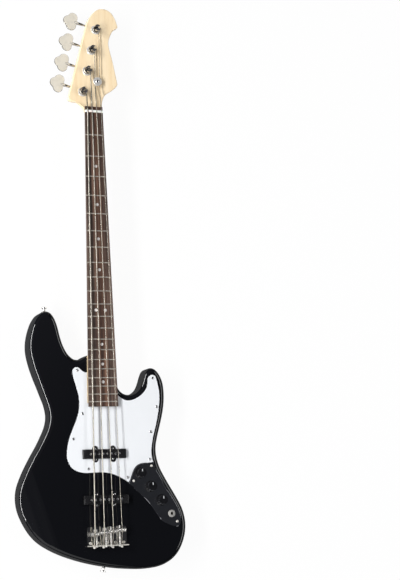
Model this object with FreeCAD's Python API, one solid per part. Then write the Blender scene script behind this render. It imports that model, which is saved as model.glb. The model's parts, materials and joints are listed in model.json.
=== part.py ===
import FreeCAD, Part
import math
import os

# Electric bass guitar lying on its back, in millimetres.
# X points to the treble side, Y to the headstock and Z out of the front.
# The origin is on the centre line, at the bridge's scale line, in the plane of the back.

# Scale and neck
scale_length = 864.0
fret_count = 21
nut_width = 38.5
neck_end_width = 63.0
heel_past_fret = 1.6
heel_thickness = 20.0
heel_length = 90.0
heel_scoop_radius = 28.0
shaft_depth_nut = 15.0
shaft_depth_heel = 16.5

# Fingerboard, frets, dots and nut
board_thickness = 6.0
board_radius = 241.0
board_past_fret = 9.9
board_tail = 8.5
board_tail_drop = 1.2
fret_width = 2.4
fret_height = 1.15
fret_crown_shares = ((-0.5, 0), (0.5, 0), (0.42, 0.6), (0.18, 1), (-0.18, 1), (-0.42, 0.6))
dot_radius = 3.2
dot_depth = 1.5
dot_fret_numbers = (3, 5, 7, 9, 15, 17, 19)
octave_fret_number = 12
octave_dot_spread = 20.0
nut_length = 4.5
nut_seat = 3.0
nut_rise = 2.4

# Headstock
headstock_length = 233.5
headstock_width = 107.0
headstock_thickness = 14.0
headstock_drop = 6.0
headstock_bevel = 1.4
headstock_corner = 4.0
headstock_scoop_radius = 18.0
headstock_blend = 26.0
headstock_blend_width = 110.0

# Truss rod
truss_rod_radius = 2.5
truss_rod_depth = 8.5
truss_rod_past_nut = 4.0
truss_nut_radius = 4.4
truss_nut_length = 11.0
truss_slot = 1.2

# Body
body_length = 525.0
body_width = 350.5
body_thickness = 44.5
body_edge_round = 9.0
pocket_depth = 15.5
arm_contour_radius = 120.0
arm_contour_share = (-0.405, 0.337)
arm_contour_deg = -71.2
belly_radius = 260.0
belly_depth = 14.0
belly_share = (-0.365, 0.632)

# Pickguard and control plate
pickguard_thickness = 2.3
pickguard_bevel = 0.8
control_plate_thickness = 1.6
control_plate_bevel = 0.5

# Pickups
neck_pickup_share = 0.1748
bridge_pickup_share = 0.0683
neck_pickup_length = 91.0
bridge_pickup_length = 94.0
pickup_width = 18.0
pickup_height = 21.0
neck_pickup_top = 52.0
bridge_pickup_top = 53.5
pickup_round = 1.6
pickup_top_round = 1.3
pickup_ear_radius = 6.0
pickup_ear_reach = 10.2
pickup_ear_spread = 37.5
pickup_ear_thickness = 3.0
pickup_ear_drop = 7.4
pickup_cavity_gap = 0.7
pickup_cavity_floor = 24.0
pole_radius = 2.4
pole_spread = 9.0
pole_rise = 0.5
pole_depth = 4.0

# Controls and jack
control_count = 4
first_control_share = (0.214, 0.367)
jack_share = (0.4008, 0.206)
control_cavity_width = 34.0
control_cavity_depth = 33.0
pot_shaft_radius = 3.0
pot_shaft_length = 12.0
knob_gap = 0.7
knob_height = 15.5
knob_skirt_radius = 11.6
knob_skirt_height = 2.6
knob_skirt_wall = 1.6
knob_side_radius = 10.0
knob_top_radius = 9.2
knob_cap_radius = 7.6
knob_cap_height = 0.7
knob_flutes = 18
knob_flute_depth = 0.9
knob_flute_shares = (0.3, 0.7)
knob_pointer_width = 1.4
knob_pointer_depth = 0.4
knob_pointer_share = 0.33
jack_bore_radius = 3.2
jack_sleeve_radius = 4.7
jack_sleeve_rise = 3.4
jack_body_radius = 8.0
jack_body_height = 3.0
jack_nut_flat = 12.6
jack_nut_sides = 6
jack_nut_height = 2.2
jack_washer_radius = 7.6
jack_washer_thickness = 0.6

# Bridge
bridge_width = 83.0
bridge_front = 5.5
bridge_back = 33.5
bridge_thickness = 2.0
bridge_wall_height = 15.5
bridge_corner = 4.0
saddle_radius = 4.25
saddle_length = 17.4
saddle_groove_depth = 0.8
saddle_floor_share = 0.85
saddle_mouth_share = 1.35
saddle_e_setback = 9.0
saddle_a_setback = 6.5
saddle_d_setback = 4.5
saddle_g_setback = 2.5
grub_radius = 1.25
grub_spread = 14.4
grub_rise = 1.2
intonation_radius = 1.25
intonation_offset = 4.2
intonation_past = 5.0
intonation_head = 2.3
intonation_head_height = 1.6
spring_radius = 1.8
spring_wire_thickness = 0.6
spring_turns = 4
spring_sides = 4

# Strings
string_e_gauge = 2.67
string_a_gauge = 2.16
string_d_gauge = 1.65
string_g_gauge = 1.14
string_sides = 6
nut_spread = 30.0
bridge_spread = 57.0
first_fret_gap = 0.5
octave_action = 2.2
string_anchor_height = 6.0
ball_radius = 2.6
ball_length = 4.0
string_bend_radius = 18.0
nut_bend_past = 2.5
retainer_bend_past = 2.5
winding_turn_count = 2
winding_gap = 0.5
winding_tail = 3.4
winding_bend_share = 1.05

# Tuning machines
post_line_deg = 13.47
first_post_x = -20.5
first_post_reach = 46.5
post_spacing = 47.5
post_radius = 4.0
post_foot_radius = 2.9
post_waist_radius = 5.4
post_flange_radius = 6.8
post_flange_height = 1.2
post_rise = 17.5
post_cap_height = 2.6
post_flare_height = 1.6
post_slot = 5.6
post_slot_depth = 12.0
post_foot = 1.2
bushing_flange_radius = 9.8
bushing_flange_height = 1.6
bushing_sleeve_radius = 6.0
bushing_sleeve_depth = 8.0
tuner_plate_thickness = 1.5
tuner_plate_length = 33.0
tuner_plate_below = 10.5
tuner_plate_above = 17.0
tuner_plate_corner = 3.0
gear_teeth = 20
gear_width = 4.0
worm_offset = 10.0
worm_pitch_radius = 2.8
worm_length = 9.6
worm_turns = 3
tooth_height = 0.55
tooth_root = 0.75
tooth_thickness_share = 0.41
tooth_slope_deg = 20.0
worm_shaft_radius = 1.9
lug_thickness = 1.8
lug_width = 7.0
lug_tip = 2.2
key_reach = 51.5
key_lobe_radius = 10.8
key_lobe_spread = 17.8
key_lobe_in = 2.0
key_lobe_out = 6.5
key_middle_radius = 14.4
key_middle_out = 0.5
key_thickness = 3.2
key_bevel = 0.7
key_stem_start = 25.0
key_stem_radius = 3.3
key_collar_radius = 2.7
key_stem_depth = 11.0
key_stem_tip_share = 0.33

# String retainer
retained_count = 2
retainer_reach = 69.5
retainer_radius = 9.5
retainer_thickness = 2.0
retainer_rise = 6.0
retainer_post_radius = 2.6
retainer_bevel = 0.7

# Neck plate and strap buttons
neck_plate_width = 48.0
neck_plate_length = 58.0
neck_plate_thickness = 2.0
neck_plate_corner = 8.0
neck_plate_shift = 3.0
neck_plate_start = 2.0
neck_screw_inset = 7.5
neck_screw_radius = 2.4
neck_screw_head = 4.6
screw_crown_share = 0.8
neck_screw_head_height = 1.4
neck_screw_length = 44.0
strap_button_radius = 6.4
strap_button_height = 11.0
strap_button_shares = ((0.95, 0), (0.59, 0.32), (0.59, 0.66), (1, 0.77), (1, 0.91), (0.8, 1))
strap_screw_radius = 2.0
strap_screw_length = 26.0
strap_horn_share = -0.318
strap_tail_share = -0.006

# Clearances and the overrun of cuts
fit_gap = 0.05
running_gap = 0.06
seat_gap = 0.15
curve_gap = 0.3
plate_gap = 0.6
overrun = 2.0

# Counts that set how finely curves are followed and small repeated rounds are drawn
body_arcs = 30
stud_sides = 12
gap_points_per_turn_count = 60
straight_share = 1e-6

# Shares of the body's width, and of its length from the tail, for the outlines on the body
neck_edge_share = 0.09
bridge_share = 0.156
joint_share = 0.757
tail_rest_share = 0.391
body_shares = (
    (-0.074, 0.836), (-0.111, 0.818), (-0.141, 0.805), (-0.190, 0.825), (-0.228, 0.870), (-0.248, 0.929),
    (-0.268, 0.981), (-0.312, 1.008), (-0.367, 0.991), (-0.408, 0.950), (-0.439, 0.852), (-0.408, 0.789),
    (-0.361, 0.689), (-0.328, 0.629), (-0.318, 0.594), (-0.328, 0.546), (-0.397, 0.466), (-0.488, 0.362),
    (-0.516, 0.292), (-0.502, 0.232), (-0.437, 0.137), (-0.321, 0.078), (-0.113, 0.027), (0.078, 0.003),
    (0.214, -0.003), (0.365, 0.005), (0.456, 0.059), (0.495, 0.138), (0.495, 0.203), (0.424, 0.294),
    (0.344, 0.376), (0.317, 0.454), (0.337, 0.510), (0.377, 0.590), (0.395, 0.673), (0.382, 0.735),
    (0.350, 0.771), (0.304, 0.784), (0.268, 0.763), (0.257, 0.724), (0.227, 0.684), (0.160, 0.668),
    (0.113, 0.686), (0.094, 0.716), (0.077, 0.756), (0.037, 0.794), (-0.020, 0.825),
)
guard_bass_shares = (
    (-0.120, 0.769), (-0.148, 0.782), (-0.171, 0.775), (-0.174, 0.750), (-0.160, 0.714), (-0.143, 0.667),
    (-0.143, 0.619), (-0.165, 0.571), (-0.200, 0.518), (-0.221, 0.465), (-0.220, 0.423), (-0.194, 0.392),
    (-0.143, 0.375), (-0.057, 0.373), (0.023, 0.370), (0.086, 0.355), (0.143, 0.332),
)
guard_plate_shares = ((0.163, 0.358), (0.183, 0.386), (0.205, 0.399), (0.251, 0.405), (0.300, 0.408))
guard_treble_shares = (
    (0.291, 0.434), (0.294, 0.472), (0.308, 0.514), (0.331, 0.568), (0.348, 0.625), (0.354, 0.670),
    (0.342, 0.724), (0.320, 0.750), (0.297, 0.747), (0.280, 0.710), (0.245, 0.675), (0.194, 0.655),
    (0.148, 0.651), (0.114, 0.661),
)
guard_bass_end_share = 0.762
guard_treble_end_share = 0.674
control_plate_shares = (
    (0.315, 0.379), (0.340, 0.347), (0.368, 0.310), (0.397, 0.280), (0.424, 0.250), (0.442, 0.227),
    (0.454, 0.204), (0.458, 0.179), (0.449, 0.160), (0.422, 0.156), (0.388, 0.162), (0.348, 0.177),
    (0.311, 0.206), (0.280, 0.237), (0.245, 0.265), (0.205, 0.291), (0.171, 0.312),
)

# Shares of the headstock's width and length, counted from the nut on the centre line
head_base_shares = ((-0.190, 0.040), (-0.246, 0.079), (-0.360, 0.106), (-0.486, 0.128))
head_edge_share = (-0.062, 0.840)
head_top_shares = ((0.045, 0.934), (0.255, 1.000), (0.430, 0.980), (0.548, 0.902), (0.592, 0.829))
head_side_shares = (
    (0.480, 0.794), (0.425, 0.748), (0.383, 0.681), (0.400, 0.617), (0.455, 0.510), (0.497, 0.415),
    (0.545, 0.290),
)
head_treble_shares = ((0.405, 0.227), (0.272, 0.180), (0.212, 0.120), (0.185, 0.056))

# Working values that follow from the sizes
Vector = FreeCAD.Vector
string_names = ("e", "a", "d", "g")
string_gauges = (string_e_gauge, string_a_gauge, string_d_gauge, string_g_gauge)
saddle_setbacks = (saddle_e_setback, saddle_a_setback, saddle_d_setback, saddle_g_setback)
string_count = len(string_names)
last_fret_y = scale_length / 2 ** (fret_count / 12)
board_end_y = last_fret_y - board_past_fret
heel_end_y = last_fret_y - heel_past_fret
heel_full_y = heel_end_y + heel_length
joint_end_y = heel_end_y + neck_plate_start + neck_plate_length
body_tail = (body_length - joint_end_y) * tail_rest_share
horn_reach = body_length - joint_end_y - body_tail
neck_pickup_y = scale_length * neck_pickup_share
bridge_pickup_y = scale_length * bridge_pickup_share
pocket_floor = body_thickness - pocket_depth
neck_top = pocket_floor + heel_thickness
board_top = neck_top + board_thickness
head_face = neck_top - headstock_drop
head_back = head_face - headstock_thickness
nut_back_y = scale_length + nut_length
board_tail_y = nut_back_y + board_tail
truss_z = neck_top - truss_rod_depth
guard_top = body_thickness + pickguard_thickness
plate_top = body_thickness + control_plate_thickness
bridge_top = body_thickness + bridge_thickness
wall_front_y = bridge_thickness - bridge_back
anchor_z = bridge_top + string_anchor_height
tuner_plate_back = head_back - tuner_plate_thickness
gear_radius = worm_offset - worm_pitch_radius
worm_lead = 2 * math.pi * gear_radius / gear_teeth
worm_crest = worm_pitch_radius + tooth_height
worm_z = tuner_plate_back - worm_crest - curve_gap
post_top = head_face + post_rise
winding_floor = head_face + bushing_flange_height + seat_gap + post_flange_height
retainer_z = head_face + retainer_rise
post_line = math.radians(post_line_deg)


# Small helpers

def across(share):
    # The strip under the neck keeps the neck's width, and the wings beside it take the rest.
    edge = neck_end_width / 2
    past = abs(share) - neck_edge_share
    if past < 0:
        return edge * share / neck_edge_share
    wing = (body_width / 2 - edge) / (0.5 - neck_edge_share)
    return math.copysign(edge + wing * past, share)


def along(share):
    # The stretch from bridge to neck joint keeps to the scale, and the tail and horns take the rest.
    if share < bridge_share:
        return body_tail * (share / bridge_share - 1)
    if share < joint_share:
        return joint_end_y * (share - bridge_share) / (joint_share - bridge_share)
    return joint_end_y + horn_reach * (share - joint_share) / (1 - joint_share)


def on_body(shares, z=0.0):
    return [Vector(across(x), along(y), z) for x, y in shares]


def on_head(shares):
    return [Vector(x * headstock_width, scale_length + y * headstock_length, 0) for x, y in shares]


def neck_half(y):
    taper = (scale_length - y) / (scale_length - board_end_y)
    return (nut_width + (neck_end_width - nut_width) * taper) / 2


def block(x0, x1, y0, y1, z0, z1):
    return Part.makeBox(x1 - x0, y1 - y0, z1 - z0, Vector(x0, y0, z0))


def rod(radius, start, end):
    return Part.makeCylinder(radius, (end - start).Length, start, end - start)


def upright(radius, x, y, z0, z1):
    return rod(radius, Vector(x, y, z0), Vector(x, y, z1))


def curve(points):
    # Arcs that follow a smooth curve through the points and meet it, tangent, at each of them.
    spline = Part.BSplineCurve()
    spline.interpolate(points)
    places = [spline.parameter(point) for point in points]
    stations = [(spline.value(at), spline.tangent(at)[0]) for at in places]
    return path_edges(stations)


def line(start, end):
    return Part.makeLine(start, end)


def prism(outline, z0, z1):
    edges = [edge for shape in outline for edge in shape.Edges]
    face = Part.Face(Part.Wire(Part.__sortEdges__(edges)))
    solid = face.extrude(Vector(0, 0, z1 - z0))
    solid.translate(Vector(0, 0, z0))
    return solid


def stud(radius, start, end):
    # A small round that repeats, drawn with few sides.
    ring = regular(radius, stud_sides)
    face = Part.Face(polygon(ring))
    face.Placement = FreeCAD.Placement(start, FreeCAD.Rotation(Vector(0, 0, 1), end - start))
    return face.extrude(end - start)


def regular(radius, sides):
    steps = [2 * math.pi * (index + 0.5) / sides for index in range(sides)]
    return [Vector(radius * math.cos(step), radius * math.sin(step), 0) for step in steps]


def polygon(points):
    return Part.makePolygon(list(points) + [points[0]])


def turned(profile, base=Vector(0, 0, 0), axis=Vector(0, 0, 1)):
    points = [Vector(radius, 0, height) for radius, height in profile]
    points = [Vector(0, 0, points[0].z)] + points + [Vector(0, 0, points[-1].z)]
    solid = Part.Face(polygon(points)).revolve(Vector(0, 0, 0), Vector(0, 0, 1), 360)
    solid.Placement = FreeCAD.Placement(base, FreeCAD.Rotation(Vector(0, 0, 1), axis))
    return solid


def joined(shapes):
    result = shapes[0].fuse(shapes[1:])
    return result.removeSplitter()


def level_edges(solid, z):
    return [edge for edge in solid.Edges
            if edge.BoundBox.ZLength < fit_gap and abs(edge.CenterOfMass.z - z) < fit_gap]


def upright_edges(solid):
    return [edge for edge in solid.Edges
            if edge.BoundBox.XLength < fit_gap and edge.BoundBox.YLength < fit_gap]


def save(name, solids):
    shape = solids[0] if len(solids) == 1 else Part.makeCompound(solids)
    shape.exportStep("parts/" + name + ".step")


def screw(top, axis, radius, head, head_height, length):
    # A screw whose head sits on the point named top and whose point runs along axis.
    profile = ((head * screw_crown_share, -head_height), (head, 0), (radius, 0), (radius, length))
    return turned(profile, top, axis)


def pilot(top, axis, radius, length):
    start = top - axis * overrun
    return rod(radius + fit_gap, start, top + axis * (length + overrun))


# Paths of wire: straight runs and arcs through points that have a direction

def arc_between(start, heading, end):
    chord = end - start
    reach = chord.Length
    unit = chord * (1 / reach)
    side = heading - unit * heading.dot(unit)
    if side.Length < straight_share:
        return line(start, end)
    half_turn = math.atan2(side.Length, heading.dot(unit))
    middle = (start + end) * 0.5 + side.normalize() * (reach / 2 * math.tan(half_turn / 2))
    return Part.Arc(start, middle, end).toShape()


def biarc(start, heading, end, leaving):
    chord = end - start
    total = heading + leaving
    spread = 2 * (1 - heading.dot(leaving))
    if spread < 1e-9:
        reach = chord.dot(chord) / (2 * chord.dot(total))
    else:
        slope = chord.dot(total)
        reach = (math.sqrt(slope ** 2 + spread * chord.dot(chord)) - slope) / spread
    middle = (start + heading * reach + end - leaving * reach) * 0.5
    first = arc_between(start, heading, middle)
    second = arc_between(end, leaving * -1, middle)
    if first.Curve.TypeId == second.Curve.TypeId == "Part::GeomLine":
        return [line(start, end)]
    second.reverse()
    return [first, second]


def path_edges(stations):
    edges = []
    for (start, heading), (end, leaving) in zip(stations, stations[1:]):
        edges += biarc(start, heading, end, leaving)
    return edges


def wire_path(stations):
    return Part.Wire(Part.__sortEdges__(path_edges(stations)))


def corner(before, point, after, radius):
    heading = (point - before).normalize()
    leaving = (after - point).normalize()
    turn = math.acos(max(-1.0, min(1.0, heading.dot(leaving))))
    reach = radius * math.tan(turn / 2)
    return [(point - heading * reach, heading), (point + leaving * reach, leaving)]


def tube(stations, radius, sides):
    start, heading = stations[0]
    profile = polygon(regular(radius, sides))
    profile.Placement = FreeCAD.Placement(start, FreeCAD.Rotation(Vector(0, 0, 1), heading))
    return wire_path(stations).makePipeShell([profile], True, False)


def least_gap(path, turns, diameter):
    # The nearest two points of a winding that lie more than half a turn apart.
    points = path.discretize(gap_points_per_turn_count * turns)
    skip = gap_points_per_turn_count // 2
    near = min((a - b).Length for index, a in enumerate(points) for b in points[index + skip:])
    return near - diameter


# Heights of the strings

def camber(x):
    return x ** 2 / (2 * board_radius)


def string_x(index, spread):
    return spread * (index / (string_count - 1) - 0.5)


def nut_rest(index):
    return board_top + fret_height + first_fret_gap - camber(string_x(index, nut_spread))


def saddle_rest(index):
    climb = 2 * (octave_action - first_fret_gap)
    return board_top + fret_height + first_fret_gap + climb - camber(string_x(index, bridge_spread))


def saddle_centre(index):
    floor = saddle_rest(index) - fit_gap
    height = floor - saddle_radius + saddle_groove_depth
    return Vector(string_x(index, bridge_spread), -saddle_setbacks[index], height)


def post_centre(index):
    step = index * post_spacing
    x = first_post_x + step * math.sin(post_line)
    return Vector(x, scale_length + first_post_reach + step * math.cos(post_line), 0)


def screw_x(index):
    side = 1 if index < string_count / 2 else -1
    return string_x(index, bridge_spread) + side * intonation_offset


# Body

def body_curve():
    spline = Part.BSplineCurve()
    spline.buildFromPoles(on_body(body_shares), True, 3)
    return spline


def arm_contour():
    turn = math.radians(arm_contour_deg)
    run = Vector(math.cos(turn), math.sin(turn), 0)
    out = Vector(math.sin(turn), -math.cos(turn), 0)
    start = on_body([arm_contour_share])[0] - run * body_length
    corners = [start, start + run * 2 * body_length]
    corners += [corners[1] + out * body_width, start + out * body_width]
    slab = prism([polygon(corners)], body_thickness / 4, body_thickness + overrun)
    crest = start + Vector(0, 0, body_thickness - arm_contour_radius)
    return slab.cut(Part.makeCylinder(arm_contour_radius, 2 * body_length, crest, run))


def rim_edges(solid):
    # The edges above and below the side wall, leaving out its seams.
    edges = []
    for face in solid.Faces:
        u0, u1, v0, v1 = face.ParameterRange
        upright_face = abs(face.normalAt((u0 + u1) / 2, (v0 + v1) / 2).z) < 0.05
        if upright_face and face.BoundBox.ZLength > body_thickness / 4:
            for edge in face.Edges:
                middle = (edge.FirstParameter + edge.LastParameter) / 2
                if abs(edge.tangentAt(middle).z) < 0.9:
                    edges.append(edge)
    return edges


def body_outline():
    # Arcs that follow the body's curve.
    spline = body_curve()
    span = spline.LastParameter - spline.FirstParameter
    places = [spline.FirstParameter + span * index / body_arcs for index in range(body_arcs)]
    stations = [(spline.value(at), spline.tangent(at)[0]) for at in places]
    return path_edges(stations + stations[:1])


def body_blank():
    blank = prism(body_outline(), 0, body_thickness)
    blank = blank.cut(arm_contour())
    blank = blank.makeFillet(body_edge_round, rim_edges(blank))
    dish = on_body([belly_share], belly_depth - belly_radius)[0]
    return blank.cut(Part.makeSphere(belly_radius, dish))


def neck_plan(y0, y1, gap):
    corners = [Vector(-neck_half(y0) - gap, y0, 0), Vector(neck_half(y0) + gap, y0, 0)]
    corners += [Vector(neck_half(y1) + gap, y1, 0), Vector(-neck_half(y1) - gap, y1, 0)]
    return polygon(corners)


def pickup_plan(length, y, gap):
    # A pickup from above: a box with an ear at each of four places along its long sides.
    half, width = length / 2 + gap, pickup_width / 2 + gap
    plan = block(-half, half, y - width, y + width, 0, body_thickness)
    ears = []
    for x, ear_y in ear_places(y):
        inner = y + (ear_y - y) / 2
        reach = pickup_ear_radius + gap
        ears.append(upright(reach, x, ear_y, 0, body_thickness))
        ears.append(block(x - reach, x + reach, min(inner, ear_y), max(inner, ear_y), 0, body_thickness))
    return joined([plan] + ears)


def ear_places(y):
    half = pickup_ear_spread / 2
    return [(x, y + side * pickup_ear_reach) for x in (-half, half) for side in (-1, 1)]


def lifted(shape, z):
    copy = shape.copy()
    copy.translate(Vector(0, 0, z))
    return copy


def control_places():
    first, last = on_body([first_control_share, jack_share])
    return [first + (last - first) * (index / (control_count - 1)) for index in range(control_count)]


def control_cavity():
    places = control_places()
    floor = body_thickness - control_cavity_depth
    top = body_thickness + overrun
    half = control_cavity_width / 2
    run = (places[-1] - places[0]).normalize()
    side = Vector(-run.y, run.x, 0) * half
    lane = polygon([places[0] + side, places[-1] + side, places[-1] - side, places[0] - side])
    ends = [upright(half, place.x, place.y, floor, top) for place in (places[0], places[-1])]
    return joined([prism([lane], floor, top)] + ends)


def neck_plate_middle():
    return Vector(-neck_plate_shift, heel_end_y + neck_plate_start + neck_plate_length / 2, 0)


def neck_screw_places():
    middle = neck_plate_middle()
    across_half = neck_plate_width / 2 - neck_screw_inset
    along_half = neck_plate_length / 2 - neck_screw_inset
    return [middle + Vector(x, y, -neck_plate_thickness)
            for x in (-across_half, across_half) for y in (-along_half, along_half)]


def strap_seats():
    # The foot and the outward direction of each strap button, on the body's side.
    spline = body_curve()
    seats = []
    for share, end in ((strap_horn_share, 1), (strap_tail_share, -1)):
        ray = line(Vector(across(share), 0, 0), Vector(across(share), end * body_length, 0))
        crossings = [pair[0] for pair in spline.toShape().distToShape(ray)[1]]
        foot = max(crossings, key=lambda point: point.y * end)
        tangent = spline.tangent(spline.parameter(foot))[0]
        outward = Vector(tangent.y, -tangent.x, 0).normalize()
        outward = outward if outward.y * end > 0 else outward * -1
        seats.append((foot + Vector(0, 0, body_thickness / 2), outward))
    return seats


def pickups():
    # Name, length, middle and top of each pickup.
    return (("neck", neck_pickup_length, neck_pickup_y, neck_pickup_top),
            ("bridge", bridge_pickup_length, bridge_pickup_y, bridge_pickup_top))


def body():
    up = Vector(0, 0, 1)
    cuts = [prism([neck_plan(heel_end_y - seat_gap, scale_length, seat_gap)], pocket_floor, board_top)]
    for name, length, y, top in pickups():
        cuts.append(lifted(pickup_plan(length, y, pickup_cavity_gap), pickup_cavity_floor))
    cuts.append(control_cavity())
    for place in neck_screw_places():
        cuts.append(pilot(place, up, neck_screw_radius, pocket_floor + neck_plate_thickness))
    for foot, outward in strap_seats():
        cuts.append(pilot(foot, outward * -1, strap_screw_radius, strap_screw_length))
    return body_blank().cut(cuts)


# Pickguard and control plate

def guard_edges():
    bass_y, treble_y = along(guard_bass_end_share), along(guard_treble_end_share)
    start = Vector(-neck_half(bass_y) - plate_gap, bass_y, 0)
    end = Vector(neck_half(treble_y) + plate_gap, treble_y, 0)
    low_y = heel_end_y - plate_gap
    low_half = neck_half(low_y) + plate_gap
    bass = [start] + on_body(guard_bass_shares)
    middle = [bass[-1]] + on_body(guard_plate_shares)
    treble = [middle[-1]] + on_body(guard_treble_shares) + [end]
    notch = [end, Vector(low_half, low_y, 0), Vector(-low_half, low_y, 0), start]
    edges = curve(bass) + curve(middle) + curve(treble)
    return edges + [line(a, b) for a, b in zip(notch, notch[1:])]


def pickguard():
    guard = prism(guard_edges(), body_thickness, guard_top)
    guard = guard.makeChamfer(pickguard_bevel, level_edges(guard, guard_top))
    opening = pickup_plan(neck_pickup_length, neck_pickup_y, pickup_cavity_gap)
    return guard.cut(lifted(opening, body_thickness / 2))


def control_plate():
    # The edge beside the pickguard follows the guard's own edge at an even gap.
    beside = [on_body(guard_bass_shares)[-1]] + on_body(guard_plate_shares)
    places = control_places()
    shift = (places[-1] - places[0]).normalize() * 2 * plate_gap
    beside = [point + shift for point in beside]
    around = [beside[-1]] + on_body(control_plate_shares) + [beside[0]]
    plate = prism(curve(beside) + curve(around), body_thickness, plate_top)
    plate = plate.makeChamfer(control_plate_bevel, level_edges(plate, plate_top))
    radii = (control_count - 1) * [pot_shaft_radius + running_gap] + [jack_sleeve_radius + fit_gap]
    return plate.cut([upright(radius, place.x, place.y, 0, board_top)
                      for place, radius in zip(places, radii)])


# Neck

def shaft_section(y, half, depth):
    # A flat top and a round back, in the plane across the neck.
    left, right = Vector(-half, y, neck_top), Vector(half, y, neck_top)
    back = Part.Arc(left, Vector(0, y, neck_top - depth), right).toShape()
    return Part.Wire([back, line(right, left)])


def head_edges():
    half = nut_width / 2
    base = [Vector(-half, scale_length, 0)] + on_head(head_base_shares)
    edge_end = on_head([head_edge_share])[0]
    top = [edge_end] + on_head(head_top_shares)
    side = [top[-1]] + on_head(head_side_shares)
    treble = [side[-1]] + on_head(head_treble_shares) + [Vector(half, scale_length, 0)]
    straight = [line(base[-1], edge_end), line(treble[-1], base[0])]
    return curve(base) + curve(top) + curve(side) + curve(treble) + straight


def sharp_corners(solid):
    # Upright edges at which the two side faces don't run into each other.
    found = []
    for edge in upright_edges(solid):
        sides = [face for face in solid.Faces if any(edge.isSame(other) for other in face.Edges)]
        at = edge.CenterOfMass
        normals = [face.normalAt(*face.Surface.parameter(at)) for face in sides]
        if normals[0].dot(normals[1]) < 0.9:
            found.append(edge)
    return found


def headstock():
    blank = prism(head_edges(), head_back, head_face)
    inner = scale_length + headstock_corner
    points = [edge for edge in sharp_corners(blank) if edge.CenterOfMass.y > inner]
    blank = blank.makeFillet(headstock_corner, points)
    rims = level_edges(blank, head_face) + level_edges(blank, head_back)
    rims = [edge for edge in rims if edge.CenterOfMass.y > inner]
    blank = blank.makeChamfer(headstock_bevel, rims)
    start = scale_length + headstock_blend - fit_gap
    return blank.common(block(-body_width, body_width, start, start + body_length, 0, body_thickness))


def head_blend():
    # The stretch behind the nut, where the neck's back fans out into the headstock.
    wide = headstock_blend_width / 2
    end_y = scale_length + headstock_blend
    start = shaft_section(scale_length, nut_width / 2, shaft_depth_nut)
    end = shaft_section(end_y, wide, neck_top - head_back)
    fan = Part.makeLoft([start, end], True, True)
    fan = fan.common(prism(head_edges(), 0, neck_top))
    rise = headstock_scoop_radius - headstock_drop
    scoop_y = board_tail_y + math.sqrt(headstock_scoop_radius ** 2 - rise ** 2)
    centre = Vector(-body_width, scoop_y, head_face + headstock_scoop_radius)
    scoop = Part.makeCylinder(headstock_scoop_radius, 2 * body_width, centre, Vector(1, 0, 0))
    beyond = block(-body_width, body_width, scoop_y, end_y + overrun, head_face, neck_top + overrun)
    return fan.cut([scoop, beyond])


def heel():
    # A block wider than the neck, hollowed where it rises to the shaft.
    wide = neck_end_width
    end_y = heel_full_y + heel_scoop_radius / 2
    blank = block(-wide, wide, heel_end_y - overrun, end_y, pocket_floor, neck_top + overrun)
    centre = Vector(-body_width, heel_full_y + heel_scoop_radius, pocket_floor)
    return blank.cut(Part.makeCylinder(heel_scoop_radius, 2 * body_width, centre, Vector(1, 0, 0)))


def shaft():
    # A round back that tapers from the heel to the nut.
    start_y = heel_full_y - heel_scoop_radius / 2
    wide = shaft_section(start_y, neck_half(start_y), shaft_depth_heel)
    slim = shaft_section(scale_length, neck_half(scale_length), shaft_depth_nut)
    return Part.makeLoft([wide, slim], True, True)


def neck_bar():
    plan = prism([neck_plan(heel_end_y, scale_length, 0)], 0, neck_top)
    return joined([shaft(), heel()]).common(plan)


def tuner_frame(index):
    # Places a tuning machine: local X runs out to the key, local Y back to the nut.
    turn = FreeCAD.Rotation(Vector(0, 0, 1), 180 - post_line_deg)
    return FreeCAD.Placement(post_centre(index), turn)


def retained():
    # The last strings, which the retainer holds down.
    return range(string_count - retained_count, string_count)


def retainer_place():
    y = scale_length + retainer_reach
    ends = [string_line_x(index, y) for index in retained()]
    return Vector(sum(ends) / len(ends), y, 0)


def neck():
    wood = joined([neck_bar(), head_blend(), headstock()])
    start = Vector(0, heel_end_y - overrun, truss_z)
    rod_end = Vector(0, nut_back_y + truss_rod_past_nut, truss_z)
    nut_end = Vector(0, heel_end_y + truss_nut_length + seat_gap, truss_z)
    cuts = [rod(truss_rod_radius + fit_gap, start, rod_end)]
    cuts.append(rod(truss_nut_radius + running_gap, start, nut_end))
    for place in neck_screw_places():
        cuts.append(pilot(place, Vector(0, 0, 1), neck_screw_radius, neck_screw_length))
    for index in range(string_count):
        centre = post_centre(index)
        cuts.append(upright(bushing_sleeve_radius, centre.x, centre.y, 0, board_top))
    return wood.cut(cuts)


# Fingerboard, frets, dots and nut

def board_drum(radius):
    axis = Vector(0, board_end_y - overrun, board_top - board_radius)
    return Part.makeCylinder(radius, board_tail_y - board_end_y + 2 * overrun, axis, Vector(0, 1, 0))


def fret_y(number):
    return scale_length / 2 ** (number / 12)


def dot_places():
    places = []
    for number in dot_fret_numbers + (octave_fret_number,):
        y = (fret_y(number) + fret_y(number - 1)) / 2
        half = octave_dot_spread / 2
        places += [Vector(x, y, 0) for x in ((-half, half) if number == octave_fret_number else (0,))]
    return places


def fingerboard():
    blank = prism([neck_plan(board_end_y, board_tail_y, 0)], neck_top, board_top + overrun)
    board = blank.common(board_drum(board_radius))
    wide = neck_end_width
    above, tail_y = board_top + overrun, board_tail_y + overrun
    seat = block(-wide, wide, scale_length, nut_back_y, board_top - nut_seat, above)
    lowered = block(-wide, wide, scale_length, tail_y, board_top - board_tail_drop, above)
    return board.cut([seat, lowered] + dot_blanks())


def dot_blanks():
    floor, top = Vector(0, 0, board_top - dot_depth), Vector(0, 0, board_top + overrun)
    return [stud(dot_radius, place + floor, place + top) for place in dot_places()]


def position_dots():
    drum = board_drum(board_radius)
    return [blank.common(drum) for blank in dot_blanks()]


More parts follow.
